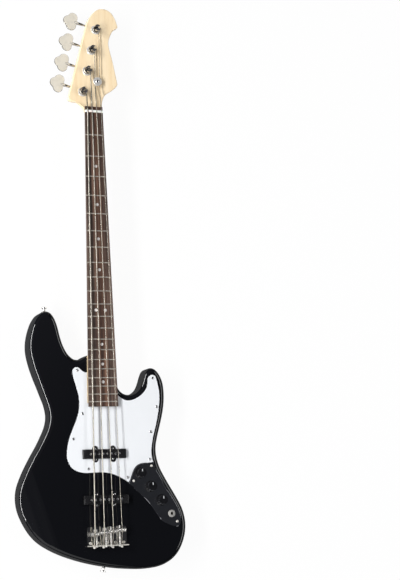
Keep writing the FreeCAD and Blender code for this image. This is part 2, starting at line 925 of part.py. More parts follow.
def frets():
    axis = Vector(0, 0, board_top - board_radius)
    wires = []
    for number in range(1, fret_count + 1):
        y = fret_y(number)
        crown = [Vector(0, y + wide * fret_width, board_top + high * fret_height)
                 for wide, high in fret_crown_shares]
        profile = Part.Face(polygon(crown))
        swing = math.degrees(math.asin(neck_half(y) / board_radius))
        profile.rotate(axis, Vector(0, 1, 0), -swing)
        wires.append(profile.revolve(axis, Vector(0, 1, 0), 2 * swing))
    return wires


def nut():
    half = nut_width / 2
    floor = board_top - nut_seat
    blank = block(-half, half, scale_length, nut_back_y, floor, board_top + 2 * nut_rise)
    blank = blank.common(board_drum(board_radius + nut_rise))
    slots = []
    for index in range(string_count):
        radius = string_gauges[index] / 2
        reach = string_run(index) * 2 * nut_length
        middle = Vector(string_x(index, nut_spread), scale_length, nut_rest(index) + radius)
        slots.append(rod(radius + fit_gap, middle - reach, middle + reach))
    return blank.cut(slots)


# Truss rod

def truss_rod():
    start = Vector(0, heel_end_y + seat_gap, truss_z)
    end = Vector(0, nut_back_y + truss_rod_past_nut, truss_z)
    return rod(truss_rod_radius, start, end)


def truss_rod_nut():
    start = Vector(0, heel_end_y, truss_z)
    end = Vector(0, heel_end_y + truss_nut_length, truss_z)
    shell = rod(truss_nut_radius, start, end)
    bore = rod(truss_rod_radius + running_gap, start - Vector(0, overrun, 0), end + Vector(0, overrun, 0))
    wide, thin = 2 * truss_nut_radius, truss_slot / 2
    deep = start.y + truss_slot
    slots = [block(-wide, wide, start.y - overrun, deep, truss_z - thin, truss_z + thin),
             block(-thin, thin, start.y - overrun, deep, truss_z - wide, truss_z + wide)]
    return shell.cut([bore] + slots)


# Neck plate and strap buttons

def neck_plate():
    middle = neck_plate_middle()
    half_x, half_y = neck_plate_width / 2, neck_plate_length / 2
    plate = block(middle.x - half_x, middle.x + half_x, middle.y - half_y, middle.y + half_y,
                  -neck_plate_thickness, 0)
    plate = plate.makeFillet(neck_plate_corner, upright_edges(plate))
    plate = plate.makeChamfer(neck_plate_thickness / 4, level_edges(plate, -neck_plate_thickness))
    up = Vector(0, 0, 1)
    return plate.cut([pilot(place, up, neck_screw_radius, neck_plate_thickness)
                      for place in neck_screw_places()])


def neck_screws():
    return [screw(place, Vector(0, 0, 1), neck_screw_radius, neck_screw_head, neck_screw_head_height,
                  neck_screw_length) for place in neck_screw_places()]


def strap_buttons():
    solids = []
    profile = [(strap_screw_radius, -strap_screw_length), (strap_screw_radius, 0)]
    profile += [(strap_button_radius * wide, strap_button_height * high)
                for wide, high in strap_button_shares]
    for foot, outward in strap_seats():
        solids.append(turned(profile, foot, outward))
    return solids


# Pickups

def pole_places(y):
    half = pole_spread / 2
    return [Vector(string_pickup_x(index, y) + side * half, y, 0)
            for index in range(string_count) for side in (-1, 1)]


def string_pickup_x(index, y):
    start, end = string_x(index, bridge_spread), string_x(index, nut_spread)
    return start + (end - start) * y / scale_length


def pickup_cover(length, y, top):
    floor = top - pickup_height
    half, width = length / 2, pickup_width / 2
    shell = block(-half, half, y - width, y + width, floor, top)
    shell = shell.makeFillet(pickup_round, upright_edges(shell))
    shell = shell.makeFillet(pickup_top_round, level_edges(shell, top))
    ear_top = top - pickup_ear_drop
    plan = lifted(pickup_plan(length, y, 0), ear_top - pickup_ear_thickness)
    ears = plan.common(block(-half / 2, half / 2, y - length, y + length, floor, ear_top))
    return joined([shell, ears]).cut(pole_blanks(y, top, overrun))


def pole_blanks(y, top, rise):
    low, high = Vector(0, 0, top - pole_depth), Vector(0, 0, top + rise)
    return [stud(pole_radius, place + low, place + high) for place in pole_places(y)]


# Controls and jack

def fluted(radius):
    # The outline of a knob's side: flats with a groove between each two.
    points = []
    for index in range(knob_flutes):
        for share in (0,) + knob_flute_shares:
            turn = 2 * math.pi * (index + share) / knob_flutes
            reach = radius if share else radius - knob_flute_depth
            points.append(Vector(reach * math.cos(turn), reach * math.sin(turn), 0))
    return polygon(points)


def knob(place):
    low = plate_top + knob_gap
    shoulder = low + knob_skirt_height
    top = low + knob_height
    skirt = turned(((knob_skirt_radius, low), (knob_skirt_radius, low + knob_skirt_wall),
                    (knob_side_radius, shoulder)))
    rings = [lifted(fluted(knob_side_radius), shoulder), lifted(fluted(knob_top_radius), top)]
    grip = Part.makeLoft(rings, True, True)
    cap = upright(knob_cap_radius, 0, 0, top, top + knob_cap_height)
    stem = upright(pot_shaft_radius, 0, 0, low - pot_shaft_length, low)
    half = knob_pointer_width / 2
    line_top = top + knob_cap_height
    pointer = block(-half, half, knob_cap_radius * knob_pointer_share, knob_cap_radius + overrun,
                    line_top - knob_pointer_depth, line_top + overrun)
    shape = joined([skirt, grip, cap, stem]).cut(pointer)
    shape.translate(place)
    return shape


def jack():
    place = control_places()[-1]
    under = body_thickness - jack_body_height
    bore = upright(jack_bore_radius, place.x, place.y, under - overrun, board_top)
    sleeve = upright(jack_sleeve_radius, place.x, place.y, under, plate_top + jack_sleeve_rise)
    flange = upright(jack_body_radius, place.x, place.y, under, body_thickness)
    nut_low = plate_top + jack_washer_thickness
    washer = upright(jack_washer_radius, place.x, place.y, plate_top, nut_low)
    corner_reach = jack_nut_flat / 2 / math.cos(math.pi / jack_nut_sides)
    corners = [place + corner_point for corner_point in regular(corner_reach, jack_nut_sides)]
    fixing = prism([polygon(corners)], nut_low, nut_low + jack_nut_height)
    return joined([sleeve, flange, washer, fixing]).cut(bore)


# Bridge

def bridge_plate():
    half = bridge_width / 2
    base = block(-half, half, -bridge_back, bridge_front, body_thickness, bridge_top)
    corners = [edge for edge in upright_edges(base) if edge.CenterOfMass.y > 0]
    base = base.makeFillet(bridge_corner, corners)
    wall_top = body_thickness + bridge_wall_height
    wall = block(-half, half, -bridge_back, wall_front_y, body_thickness, wall_top)
    shape = joined([base, wall])
    bend = [edge for edge in shape.Edges if edge.BoundBox.XLength > half
            and abs(edge.CenterOfMass.y + bridge_back) < fit_gap
            and abs(edge.CenterOfMass.z - body_thickness) < fit_gap]
    shape = shape.makeFillet(bridge_thickness, bend)
    cuts = []
    for index in range(string_count):
        ahead, behind = Vector(0, overrun, 0), Vector(0, -overrun, 0)
        at = Vector(screw_x(index), wall_front_y, saddle_centre(index).z)
        cuts.append(rod(intonation_radius + running_gap, at + behind * 2, at + ahead))
        hole, heading = string_stations(index)[-1]
        way = heading * 2 * overrun
        cuts.append(rod(string_gauges[index] / 2 + curve_gap, hole - way, hole + way))
    return shape.cut(cuts)


def saddle(index):
    # A barrel with a groove for its string, standing on two height screws.
    centre = saddle_centre(index)
    radius = string_gauges[index] / 2
    half = saddle_length / 2
    floor = saddle_radius - saddle_groove_depth
    flat, mouth = radius * saddle_floor_share, radius * saddle_mouth_share
    profile = ((saddle_radius, -half), (saddle_radius, -mouth), (floor, -flat), (floor, flat),
               (saddle_radius, mouth), (saddle_radius, half))
    legs = []
    for side in (-1, 1):
        foot = Vector(centre.x + side * grub_spread / 2, centre.y, bridge_top)
        head = Vector(foot.x, foot.y, centre.z + saddle_radius + grub_rise)
        legs.append(stud(grub_radius, foot, head))
    shape = joined([turned(profile, centre, Vector(1, 0, 0))] + legs)
    reach = Vector(0, saddle_radius + overrun, 0)
    middle = Vector(screw_x(index), centre.y, centre.z)
    return shape.cut(rod(intonation_radius + running_gap, middle - reach, middle + reach))


def intonation_screw(index):
    centre = saddle_centre(index)
    back = Vector(screw_x(index), -bridge_back - fit_gap, centre.z)
    end = Vector(screw_x(index), centre.y + saddle_radius + intonation_past, centre.z)
    head = stud(intonation_head, back - Vector(0, intonation_head_height, 0), back)
    return joined([head, stud(intonation_radius, back, end)])


def spring_stations(index):
    # Straight for one wire at both ends, and quarter turns of a helix between them.
    centre = saddle_centre(index)
    axis = Vector(screw_x(index), 0, centre.z)
    start_y, end_y = wall_front_y, centre.y - saddle_radius - curve_gap
    along_axis = Vector(0, 1, 0)
    foot = axis + Vector(spring_radius, start_y, 0)
    head = axis + Vector(spring_radius, end_y, 0)
    stations = [(foot, along_axis), (foot + along_axis * spring_wire_thickness, along_axis)]
    quarters = 4 * spring_turns
    low, high = start_y + 2 * spring_wire_thickness, end_y - 2 * spring_wire_thickness
    rise = (high - low) / quarters
    climb = rise / (spring_radius * math.pi / 2)
    for quarter in range(1, quarters):
        turn = quarter * math.pi / 2
        across_axis, up = math.cos(turn), math.sin(turn)
        point = axis + Vector(spring_radius * across_axis, low + rise * quarter, spring_radius * up)
        stations.append((point, Vector(-up, climb, across_axis).normalize()))
    stations += [(head - along_axis * spring_wire_thickness, along_axis), (head, along_axis)]
    return stations


def intonation_springs():
    springs = []
    for index in range(string_count):
        stations = spring_stations(index)
        gap = least_gap(wire_path(stations), spring_turns, spring_wire_thickness)
        print("spring", string_names[index], "least gap to itself", round(gap, 2))
        springs.append(tube(stations, spring_wire_thickness / 2, spring_sides))
    return springs


# Strings

def string_run(index):
    start = Vector(string_x(index, bridge_spread), 0, saddle_rest(index))
    end = Vector(string_x(index, nut_spread), scale_length, nut_rest(index))
    return (end - start).normalize()


def anchor(index):
    # The string's hole through the bridge's wall, on the string's own line in plan.
    run = string_run(index)
    x = string_x(index, bridge_spread) - run.x / run.y * bridge_back
    return Vector(x, -bridge_back, anchor_z)


def winding_radius(index):
    return post_waist_radius + curve_gap + string_gauges[index] / 2


def leaving_turn(index):
    # The bearing from the post at which the string leaves it on the treble side.
    centre = post_centre(index)
    to_nut = Vector(string_x(index, nut_spread), nut_back_y, 0) - centre
    bearing = math.atan2(to_nut.y, to_nut.x)
    return bearing + math.acos(winding_radius(index) / to_nut.Length)


def string_line_x(index, y):
    # Where the string crosses a line behind the nut, seen from above.
    centre = post_centre(index)
    turn = leaving_turn(index)
    reach = winding_radius(index)
    leave = centre + Vector(math.cos(turn), math.sin(turn), 0) * reach
    start = string_x(index, nut_spread)
    return start + (leave.x - start) * (y - nut_back_y) / (leave.y - nut_back_y)


def slot_turn(index):
    # The bearing of the post's slot, from which the string bends onto its first turn.
    bend = string_gauges[index] * winding_bend_share
    inner = winding_radius(index) - bend
    return leaving_turn(index) + math.asin(bend / inner)


def winding_stations(index):
    centre = post_centre(index)
    radius = string_gauges[index] / 2
    reach = winding_radius(index)
    pitch = 2 * radius + winding_gap
    low = winding_floor + radius + curve_gap
    high = low + pitch * winding_turn_count
    bend = string_gauges[index] * winding_bend_share
    out = Vector(math.cos(slot_turn(index)), math.sin(slot_turn(index)), 0)
    up = Vector(0, 0, 1)
    top = centre + up * high
    straight = math.sqrt((reach - bend) ** 2 - bend ** 2)
    stations = [(top - out * winding_tail, out), (top + out * straight, out)]
    slope = pitch / (2 * math.pi * reach)
    for quarter in range(4 * winding_turn_count):
        turn = leaving_turn(index) - quarter * math.pi / 2
        point = centre + Vector(reach * math.cos(turn), reach * math.sin(turn), high - pitch * quarter / 4)
        fall = 0 if quarter == 0 else slope
        stations.append((point, Vector(math.sin(turn), -math.cos(turn), -fall).normalize()))
    turn = leaving_turn(index)
    leave = centre + Vector(reach * math.cos(turn), reach * math.sin(turn), low)
    return stations, leave


def saddle_corner(index, nut_point, end):
    # Where the two straight runs over a saddle would meet, both tangent to its groove.
    centre = saddle_centre(index)
    wrap = saddle_radius - saddle_groove_depth + fit_gap + string_gauges[index] / 2
    lines = []
    for point, side in ((nut_point, -1), (end, 1)):
        run = (centre.y - point.y, centre.z - point.z)
        reach = math.hypot(*run)
        bearing = math.atan2(run[1], run[0]) + side * math.asin(wrap / reach)
        lines.append((point.y, point.z, math.tan(bearing)))
    (y1, z1, slope1), (y2, z2, slope2) = lines
    y = (z2 - z1 + slope1 * y1 - slope2 * y2) / (slope1 - slope2)
    share = (y - end.y) / (nut_point.y - end.y)
    x = end.x + (nut_point.x - end.x) * share
    return Vector(x, y, z1 + slope1 * (y - y1)), wrap


def string_stations(index):
    radius = string_gauges[index] / 2
    stations, leave = winding_stations(index)
    run = string_run(index)
    behind = nut_length + nut_bend_past
    nut_point = Vector(string_x(index, nut_spread), scale_length, nut_rest(index) + radius) + run * behind
    knots = [leave]
    if index in retained():
        y = scale_length + retainer_reach - retainer_radius - retainer_bend_past
        knots.append(Vector(string_line_x(index, y), y, retainer_z - radius - fit_gap))
    hole = anchor(index) - Vector(0, fit_gap, 0)
    over, wrap = saddle_corner(index, nut_point, hole)
    knots += [nut_point, over, hole]
    radii = [0] + [string_bend_radius] * (len(knots) - 3) + [wrap, 0]
    stations.append((leave, (knots[1] - leave).normalize()))
    for before, point, after, bend in zip(knots, knots[1:], knots[2:], radii[1:]):
        stations += corner(before, point, after, bend)
    stations.append((hole, (hole - over).normalize()))
    return stations


def string(index):
    stations = string_stations(index)
    winding = wire_path(stations[2:3 + 4 * winding_turn_count])
    gap = least_gap(winding, winding_turn_count, string_gauges[index])
    print("string", string_names[index], "least gap to itself", round(gap, 2))
    wire = tube(stations, string_gauges[index] / 2, string_sides)
    hole = stations[-1][0]
    ball = rod(ball_radius, hole, hole - Vector(0, ball_length, 0))
    return joined([wire, ball])


# Tuning machines, in their own frame about the post

def tuner_post(index):
    low = worm_z - gear_width / 2 - post_foot
    high = worm_z + gear_width / 2
    flange = head_face + bushing_flange_height + seat_gap
    cap = post_top - post_cap_height
    profile = (
        (post_foot_radius, low), (post_foot_radius, high), (post_radius, high), (post_radius, flange),
        (post_flange_radius, flange), (post_flange_radius, winding_floor),
        (post_waist_radius, winding_floor), (post_waist_radius, cap - post_flare_height),
        (post_flange_radius, cap), (post_flange_radius, post_top),
    )
    half = post_slot / 2
    wide = 2 * post_flange_radius
    slot = block(-wide, wide, -half, half, post_top - post_slot_depth, post_top + overrun)
    slot.rotate(Vector(0, 0, 0), Vector(0, 0, 1), math.degrees(slot_turn(index)) - 180 + post_line_deg)
    return turned(profile).cut(slot)


def gear_outline():
    pitch = 2 * math.pi * gear_radius / gear_teeth
    slope = math.tan(math.radians(tooth_slope_deg))
    half = pitch * tooth_thickness_share / 2
    points = []
    for tooth in range(gear_teeth):
        middle = 2 * math.pi * tooth / gear_teeth - math.pi / 2
        rows = ((gear_radius - tooth_root, half + tooth_root * slope, -1),
                (gear_radius + tooth_height, half - tooth_height * slope, -1),
                (gear_radius + tooth_height, half - tooth_height * slope, 1),
                (gear_radius - tooth_root, half + tooth_root * slope, 1))
        for radius, thickness, side in rows:
            turn = middle + side * thickness / radius
            points.append(Vector(radius * math.cos(turn), radius * math.sin(turn), 0))
    return polygon(points)


def tuner_gear():
    low, high = worm_z - gear_width / 2, worm_z + gear_width / 2
    bore = upright(post_foot_radius, 0, 0, low - overrun, high + overrun)
    return prism([gear_outline()], low, high).cut(bore)


def worm_thread():
    # A trapezium carried round X on a right-hand helix, standing on the core of the worm.
    slope = math.tan(math.radians(tooth_slope_deg))
    half = worm_lead * tooth_thickness_share / 2
    core = worm_pitch_radius - tooth_root
    rows = ((core - fit_gap, -half - tooth_root * slope), (worm_crest, tooth_height * slope - half),
            (worm_crest, half - tooth_height * slope), (core - fit_gap, half + tooth_root * slope))
    sections = []
    for step in range(worm_turns * stud_sides + 1):
        share = step / stud_sides - worm_turns / 2
        turn = 2 * math.pi * share
        away = Vector(0, -math.cos(turn), -math.sin(turn))
        sections.append(polygon([Vector(share * worm_lead + shift, 0, 0) + away * radius
                                 for radius, shift in rows]))
    return Part.makeLoft(sections, True, True)


def tuner_worm():
    # At the middle of the worm a gap of the thread faces the wheel.
    half = worm_length / 2
    start = Vector(-half - lug_thickness - seat_gap - fit_gap, 0, 0)
    end = Vector(key_stem_start + key_stem_depth, 0, 0)
    core = stud(worm_pitch_radius - tooth_root, Vector(-half, 0, 0), Vector(half, 0, 0))
    shape = joined([stud(worm_shaft_radius, start, end), core, worm_thread()])
    shape.translate(Vector(0, -worm_offset, worm_z))
    return shape


def tuner_key():
    half = key_thickness / 2
    spots = ((-key_lobe_in, key_lobe_spread / 2), (-key_lobe_in, -key_lobe_spread / 2), (key_lobe_out, 0))
    lobes = [upright(key_lobe_radius, x, y, -half, half) for x, y in spots]
    plate = joined([upright(key_middle_radius, key_middle_out, 0, -half, half)] + lobes)
    plate = plate.makeChamfer(key_bevel, level_edges(plate, half) + level_edges(plate, -half))
    plate.translate(Vector(key_reach, 0, 0))
    end = key_reach - key_lobe_in
    profile = ((key_collar_radius, key_stem_start), (key_stem_radius, end - key_lobe_radius),
               (key_thickness * key_stem_tip_share, end))
    stem = turned(profile, Vector(0, 0, 0), Vector(1, 0, 0))
    bore = stud(worm_shaft_radius, Vector(0, 0, 0), Vector(key_stem_start + key_stem_depth, 0, 0))
    shape = joined([plate, stem]).cut(bore)
    shape.translate(Vector(0, -worm_offset, worm_z))
    return shape


def tuner_plate():
    half = tuner_plate_length / 2
    plate = block(-half, half, -tuner_plate_above, tuner_plate_below, tuner_plate_back, head_back)
    plate = plate.makeFillet(tuner_plate_corner, upright_edges(plate))
    lugs = []
    foot = worm_z - worm_shaft_radius - lug_tip
    side_y = lug_width / 2
    for side in (-1, 1):
        near = side * (worm_length / 2 + seat_gap)
        far = near + side * lug_thickness
        lugs.append(block(min(near, far), max(near, far), -worm_offset - side_y, -worm_offset + side_y,
                          foot, tuner_plate_back))
    reach = worm_length + lug_thickness
    holes = [upright(post_radius + running_gap, 0, 0, 0, head_face),
             rod(worm_shaft_radius + running_gap, Vector(-reach, -worm_offset, worm_z),
                 Vector(reach, -worm_offset, worm_z))]
    return joined([plate] + lugs).cut(holes)


def tuner_bushing():
    low = head_face - bushing_sleeve_depth
    profile = (
        (bushing_sleeve_radius, low), (bushing_sleeve_radius, head_face),
        (bushing_flange_radius, head_face), (bushing_flange_radius, head_face + bushing_flange_height / 2),
        (bushing_flange_radius - bushing_flange_height / 2, head_face + bushing_flange_height),
    )
    return turned(profile).cut(upright(post_radius + running_gap, 0, 0, 0, board_top))


def placed(shape, index):
    copy = shape.copy()
    copy.Placement = tuner_frame(index).multiply(copy.Placement)
    return copy


def string_retainer():
    disc_top = retainer_z + retainer_thickness
    edge_z = disc_top - retainer_bevel
    profile = ((retainer_post_radius, head_face), (retainer_post_radius, retainer_z),
               (retainer_radius, retainer_z), (retainer_radius, edge_z),
               (retainer_radius - retainer_bevel, disc_top))
    return turned(profile, retainer_place())


# Writing every piece

def main():
    os.makedirs("parts", exist_ok=True)
    save("body", [body()])
    save("pickguard", [pickguard()])
    save("control_plate", [control_plate()])
    save("neck", [neck()])
    save("fingerboard", [fingerboard()])
    save("frets", frets())
    save("position_dots", position_dots())
    save("nut", [nut()])
    save("truss_rod", [truss_rod()])
    save("truss_rod_nut", [truss_rod_nut()])
    save("neck_plate", [neck_plate()])
    save("neck_screws", neck_screws())
    save("strap_buttons", strap_buttons())
    for name, length, y, top in pickups():
        save(name + "_pickup_cover", [pickup_cover(length, y, top)])
        save(name + "_pickup_poles", pole_blanks(y, top, pole_rise))
    for number, place in enumerate(control_places()[:-1], 1):
        save("knob_%d" % number, [knob(place)])
    save("jack", [jack()])
    save("bridge_plate", [bridge_plate()])
    save("intonation_springs", intonation_springs())
    gear, key, worm = tuner_gear(), tuner_key(), tuner_worm()
    plate, bushing = tuner_plate(), tuner_bushing()
    machines = range(string_count)
    for index in machines:
        name = string_names[index]
        save("saddle_" + name, [saddle(index)])
        save("intonation_screw_" + name, [intonation_screw(index)])
        save("string_" + name, [string(index)])
        save("tuner_post_" + name, [placed(tuner_post(index), index)])
        save("tuner_gear_" + name, [placed(gear, index)])
        save("tuner_key_" + name, [placed(key, index), placed(worm, index)])
    save("tuner_plates", [placed(plate, index) for index in machines])
    save("tuner_bushings", [placed(bushing, index) for index in machines])
    save("string_retainer", [string_retainer()])


main()
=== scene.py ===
import json
import math

import bpy
from mathutils import Matrix, Vector


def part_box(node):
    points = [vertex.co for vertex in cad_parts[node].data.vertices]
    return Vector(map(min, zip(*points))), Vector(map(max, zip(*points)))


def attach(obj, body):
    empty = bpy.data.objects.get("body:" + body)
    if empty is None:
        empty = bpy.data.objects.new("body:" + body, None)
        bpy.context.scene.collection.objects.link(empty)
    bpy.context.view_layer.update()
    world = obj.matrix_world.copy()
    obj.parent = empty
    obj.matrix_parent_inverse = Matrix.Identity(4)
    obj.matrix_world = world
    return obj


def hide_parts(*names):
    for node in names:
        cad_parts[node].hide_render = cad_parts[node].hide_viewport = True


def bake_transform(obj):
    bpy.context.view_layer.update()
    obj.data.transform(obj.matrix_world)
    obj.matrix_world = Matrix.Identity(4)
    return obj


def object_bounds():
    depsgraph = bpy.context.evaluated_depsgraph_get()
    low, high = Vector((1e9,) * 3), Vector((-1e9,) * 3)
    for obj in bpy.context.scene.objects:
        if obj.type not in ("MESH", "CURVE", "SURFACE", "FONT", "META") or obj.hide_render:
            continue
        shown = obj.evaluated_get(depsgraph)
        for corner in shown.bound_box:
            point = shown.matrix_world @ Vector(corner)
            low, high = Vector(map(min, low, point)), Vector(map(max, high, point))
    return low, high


# Studio scene of an electric bass guitar lying on its back, in metres.
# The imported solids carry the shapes; this file adds finishes, small screws, strings and springs.

mm = 0.001
upward = (0.0, 0.0, 1.0)
crosswise = (1.0, 0.0, 0.0)
lengthwise = (0.0, 1.0, 0.0)

# Camera, fitted to the photograph
camera_place = (-0.9274, 0.0021, 2.9625)
camera_aim = (0.2249, 0.4919, 0.045)
camera_roll_deg = -2.514
camera_lens = 92.95
camera_sensor = 36.0
camera_reach = 50.0

# Lamps, each with its place, aim, width, length and power
lamps = {
    "key": ((-2.6, 0.6, 1.9), (0.0, 0.6, 0.0), 0.4, 3.7, 158.0),
    "fill": ((2.2, 0.5, 2.2), (0.0, 0.5, 0.0), 0.8, 2.4, 31.0),
    "front": ((-0.9, -2.2, 2.4), (0.0, 0.4, 0.0), 3.6, 2.6, 25.0),
}

# World, from the horizon to overhead and from the treble side to the bass side and the head
world_heights = [(0.0, (0.42, 0.42, 0.43)), (0.45, (0.36, 0.36, 0.37)), (0.85, (1.0, 1.0, 1.0))]
world_slant = (-2.0, 1.0, 0.0)
world_slant_range = (-0.7, 0.3)
world_sides = [(0.1, (0.030, 0.031, 0.035)), (0.2, (0.035, 0.035, 0.040)), (0.35, (0.11, 0.11, 0.12)),
               (0.78, (0.08, 0.08, 0.09)), (0.96, (0.15, 0.15, 0.16))]

# Floor
floor_half = 9.0
floor_gap = 0.4 * mm
floor_glow = 0.95
floor_white = (0.93, 0.93, 0.93)

# Lengths from here on are in millimetres, as in the part's source

# Strings over the nut, the board and the bridge
string_names = ("e", "a", "d", "g")
string_gauges = (2.67, 2.16, 1.65, 1.14)
scale_length = 864.0
nut_length = 4.5
nut_spread = 30.0
nut_bend_past = 2.5
bridge_spread = 57.0
board_top = 55.0
board_radius = 241.0
fret_height = 1.15
first_fret_gap = 0.5
octave_action = 2.2
string_bend = 18.0
string_detail = 3

# Heights of the faces that the guard and the screws stand on
body_top = 44.5
guard_top = 46.8
plate_top = 46.1
bridge_top = 46.5
tuner_plate_back = 27.5

# Bridge, with the strings' ball ends
bridge_back = 33.5
bridge_wall_front = -31.5
bridge_wall_blend = 1.0
anchor_height = 6.0
ball_radius = 2.6
ball_length = 4.0
ball_profile_shares = ((0.5, 0.0), (0.86, 0.04), (1.0, 0.2), (1.0, 0.8), (0.86, 0.96), (0.5, 1.0))
ball_sides = 16
saddle_radius = 4.25
saddle_groove = 0.8
saddle_setbacks = (9.0, 6.5, 4.5, 2.5)
screw_offset = 4.2
spring_radius = 1.8
spring_wire = 0.6
spring_turns = 8
spring_detail = 1

# Tuner posts, with the strings' windings
first_post = (-20.5, 910.5)
post_spacing = 47.5
post_line = math.radians(13.47)
key_side = (-math.cos(post_line), math.sin(post_line), 0.0)
post_waist = 5.4
winding_floor = 45.95
winding_turns = 2
winding_gap = 0.5
winding_tail = 3.4
winding_bend_share = 1.05
winding_lead_share = 0.4
wire_gap = 0.3
coil_points = 12

# Retainer, which holds two strings down behind the nut
retained_strings = (string_names.index("d"), string_names.index("g"))
retainer_reach = 69.5
retainer_radius = 9.5
retainer_z = 49.0
retainer_top = 51.0

# Knobs, with the pointers on their caps
control_start = (74.976, 110.685)
control_step = (21.831, -28.152)
knob_count = 3
knob_top = 63.0
knob_cap_radius = 7.6
pointer_width = 1.3
pointer_depth = 0.38
pointer_sink = 0.04
pointer_shares = (0.42, 0.97)
pointer_round_steps = 6

# Where a finish changes on a key and on the fingerboard
paddle_start = 36.0
paddle_blend = 2.0
paddle_flat_range = (0.80, 0.97)
heartwood_half = 24.0

# Heads of the small screws, each with its radius and rise
guard_screw = (2.9, 1.1)
plate_screw = (2.6, 1.1)
bridge_screw = (3.0, 1.5)
ear_screw = (2.5, 1.2)
tuner_screw = (2.5, 1.2)
retainer_screw = (3.6, 1.0)
neck_screw = (4.6, 1.4)
head_profile_shares = ((1.0, 0.0), (1.0, 0.3), (0.86, 0.72), (0.66, 1.0))
head_round_deg = (28, 45, 62)
cross_arm_share = 0.56
cross_half_share = 0.13
cross_floor_shares = (0.9, 0.35)

# Places of the small screws
guard_screws = ((-52.0, 322.0), (-43.5, 233.5), (-64.0, 182.5), (-34.0, 121.5), (48.5, 102.5),
                (97.5, 138.0), (102.0, 194.0), (116.5, 245.5), (110.0, 305.0))
plate_screws = ((100.5, 124.5), (61.0, 95.0), (152.0, 10.0))
bridge_screw_row = -27.0
bridge_screw_step = 17.5
bridge_screws = tuple((step * bridge_screw_step, bridge_screw_row) for step in range(-2, 3))
ear_screw_x = 18.75
ear_screw_y = 10.2
ear_screws = tuple((x, y) for x in (-ear_screw_x, ear_screw_x) for y in (-ear_screw_y, ear_screw_y))
tuner_screw_x = 13.1
tuner_screw_rows = (7.1, -13.6)
tuner_screws = tuple((x, y) for y in tuner_screw_rows for x in (-tuner_screw_x, tuner_screw_x))

# The pickups' places along the body and the tops of their ears
pickup_places = {"neck_pickup": (151.03, 44.6), "bridge_pickup": (59.01, 46.1)}

# Depths of the fine textures, and of the light in the nut
lacquer_ripple = 0.02
plated_ripple = 0.004
mirror_ripple = 0.0006
maple_pores = 0.02
rosewood_pores = 0.05
moulded_grain = 0.03
winding_ripple = 0.008
saddle_thread = 0.12
nut_scatter = 0.6

# Values that several finishes share
plain = (1.0, 1.0, 1.0)
noise_range = (0.3, 0.7)
worn_share = 0.9
dust_lift = 1.8

# Limits for the meshes: bends that stay sharp in the shading, and a divisor's least size
piece_sharp_deg = 35
wire_sharp_deg = 50
least_divisor = 1e-9

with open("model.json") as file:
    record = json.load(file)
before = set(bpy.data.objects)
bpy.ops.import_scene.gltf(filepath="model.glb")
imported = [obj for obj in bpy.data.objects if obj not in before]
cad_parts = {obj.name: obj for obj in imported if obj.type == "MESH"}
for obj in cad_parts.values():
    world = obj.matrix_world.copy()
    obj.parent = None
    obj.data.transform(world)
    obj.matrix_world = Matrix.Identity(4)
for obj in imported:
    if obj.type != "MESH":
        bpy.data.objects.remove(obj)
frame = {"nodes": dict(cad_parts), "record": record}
cad_low, cad_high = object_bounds()
nodes = frame["nodes"]


# Shader helpers

def new_material(name, colour, metallic=0.0, roughness=0.4):
    material = bpy.data.materials.new(name)
    material.use_nodes = True
    shader = material.node_tree.nodes["Principled BSDF"]
    shader.inputs["Base Color"].default_value = (*colour, 1.0)
    shader.inputs["Metallic"].default_value = metallic
    shader.inputs["Roughness"].default_value = roughness
    return material, material.node_tree, shader


def coordinates(tree, scale=plain):
    # The piece's own coordinates, stretched by a scale for each axis.
    source = tree.nodes.new("ShaderNodeTexCoord")
    mapping = tree.nodes.new("ShaderNodeMapping")
    mapping.inputs["Scale"].default_value = scale
    tree.links.new(source.outputs["Object"], mapping.inputs["Vector"])
    return mapping.outputs["Vector"]


def noise(tree, vector, scale, detail=4.0, distortion=0.0):
    texture = tree.nodes.new("ShaderNodeTexNoise")
    texture.inputs["Scale"].default_value = scale
    texture.inputs["Detail"].default_value = detail
    texture.inputs["Distortion"].default_value = distortion
    tree.links.new(vector, texture.inputs["Vector"])
    return texture.outputs[0]


def waves(tree, vector, scale, direction, distortion=0.0):
    texture = tree.nodes.new("ShaderNodeTexWave")
    texture.bands_direction = direction
    texture.inputs["Scale"].default_value = scale
    texture.inputs["Distortion"].default_value = distortion
    tree.links.new(vector, texture.inputs["Vector"])
    return texture.outputs[1]


def ramp(tree, factor, stops):
    node = tree.nodes.new("ShaderNodeValToRGB")
    elements = node.color_ramp.elements
    while len(elements) < len(stops):
        elements.new(0.5)
    for element, (place, colour) in zip(elements, stops):
        element.position = place
        element.color = (*colour, 1.0)
    tree.links.new(factor, node.inputs["Fac"])
    return node.outputs["Color"]


def ranged(tree, value, low, high):
    # From 0 to 1 between two values.
    node = tree.nodes.new("ShaderNodeMapRange")
    node.inputs["From Min"].default_value = low
    node.inputs["From Max"].default_value = high
    tree.links.new(value, node.inputs["Value"])
    return node


def spread(tree, factor, low, high):
    # A texture's middle range stretched between two values.
    node = ranged(tree, factor, *noise_range)
    node.inputs["To Min"].default_value = low
    node.inputs["To Max"].default_value = high
    return node.outputs["Result"]


def multiplied(tree, first, second, share=1.0):
    node = tree.nodes.new("ShaderNodeMix")
    node.data_type = "RGBA"
    node.blend_type = "MULTIPLY"
    node.inputs["Factor"].default_value = share
    tree.links.new(first, node.inputs["A"])
    tree.links.new(second, node.inputs["B"])
    return node.outputs["Result"]


def reach(tree, vector, axis):
    node = tree.nodes.new("ShaderNodeVectorMath")
    node.operation = "DOT_PRODUCT"
    node.inputs[1].default_value = axis
    tree.links.new(vector, node.inputs[0])
    return node.outputs["Value"]


def along(tree, axis, low, high):
    # From 0 to 1 between two distances along an axis of the piece, in millimetres.
    return ranged(tree, reach(tree, coordinates(tree), axis), low * mm, high * mm).outputs["Result"]


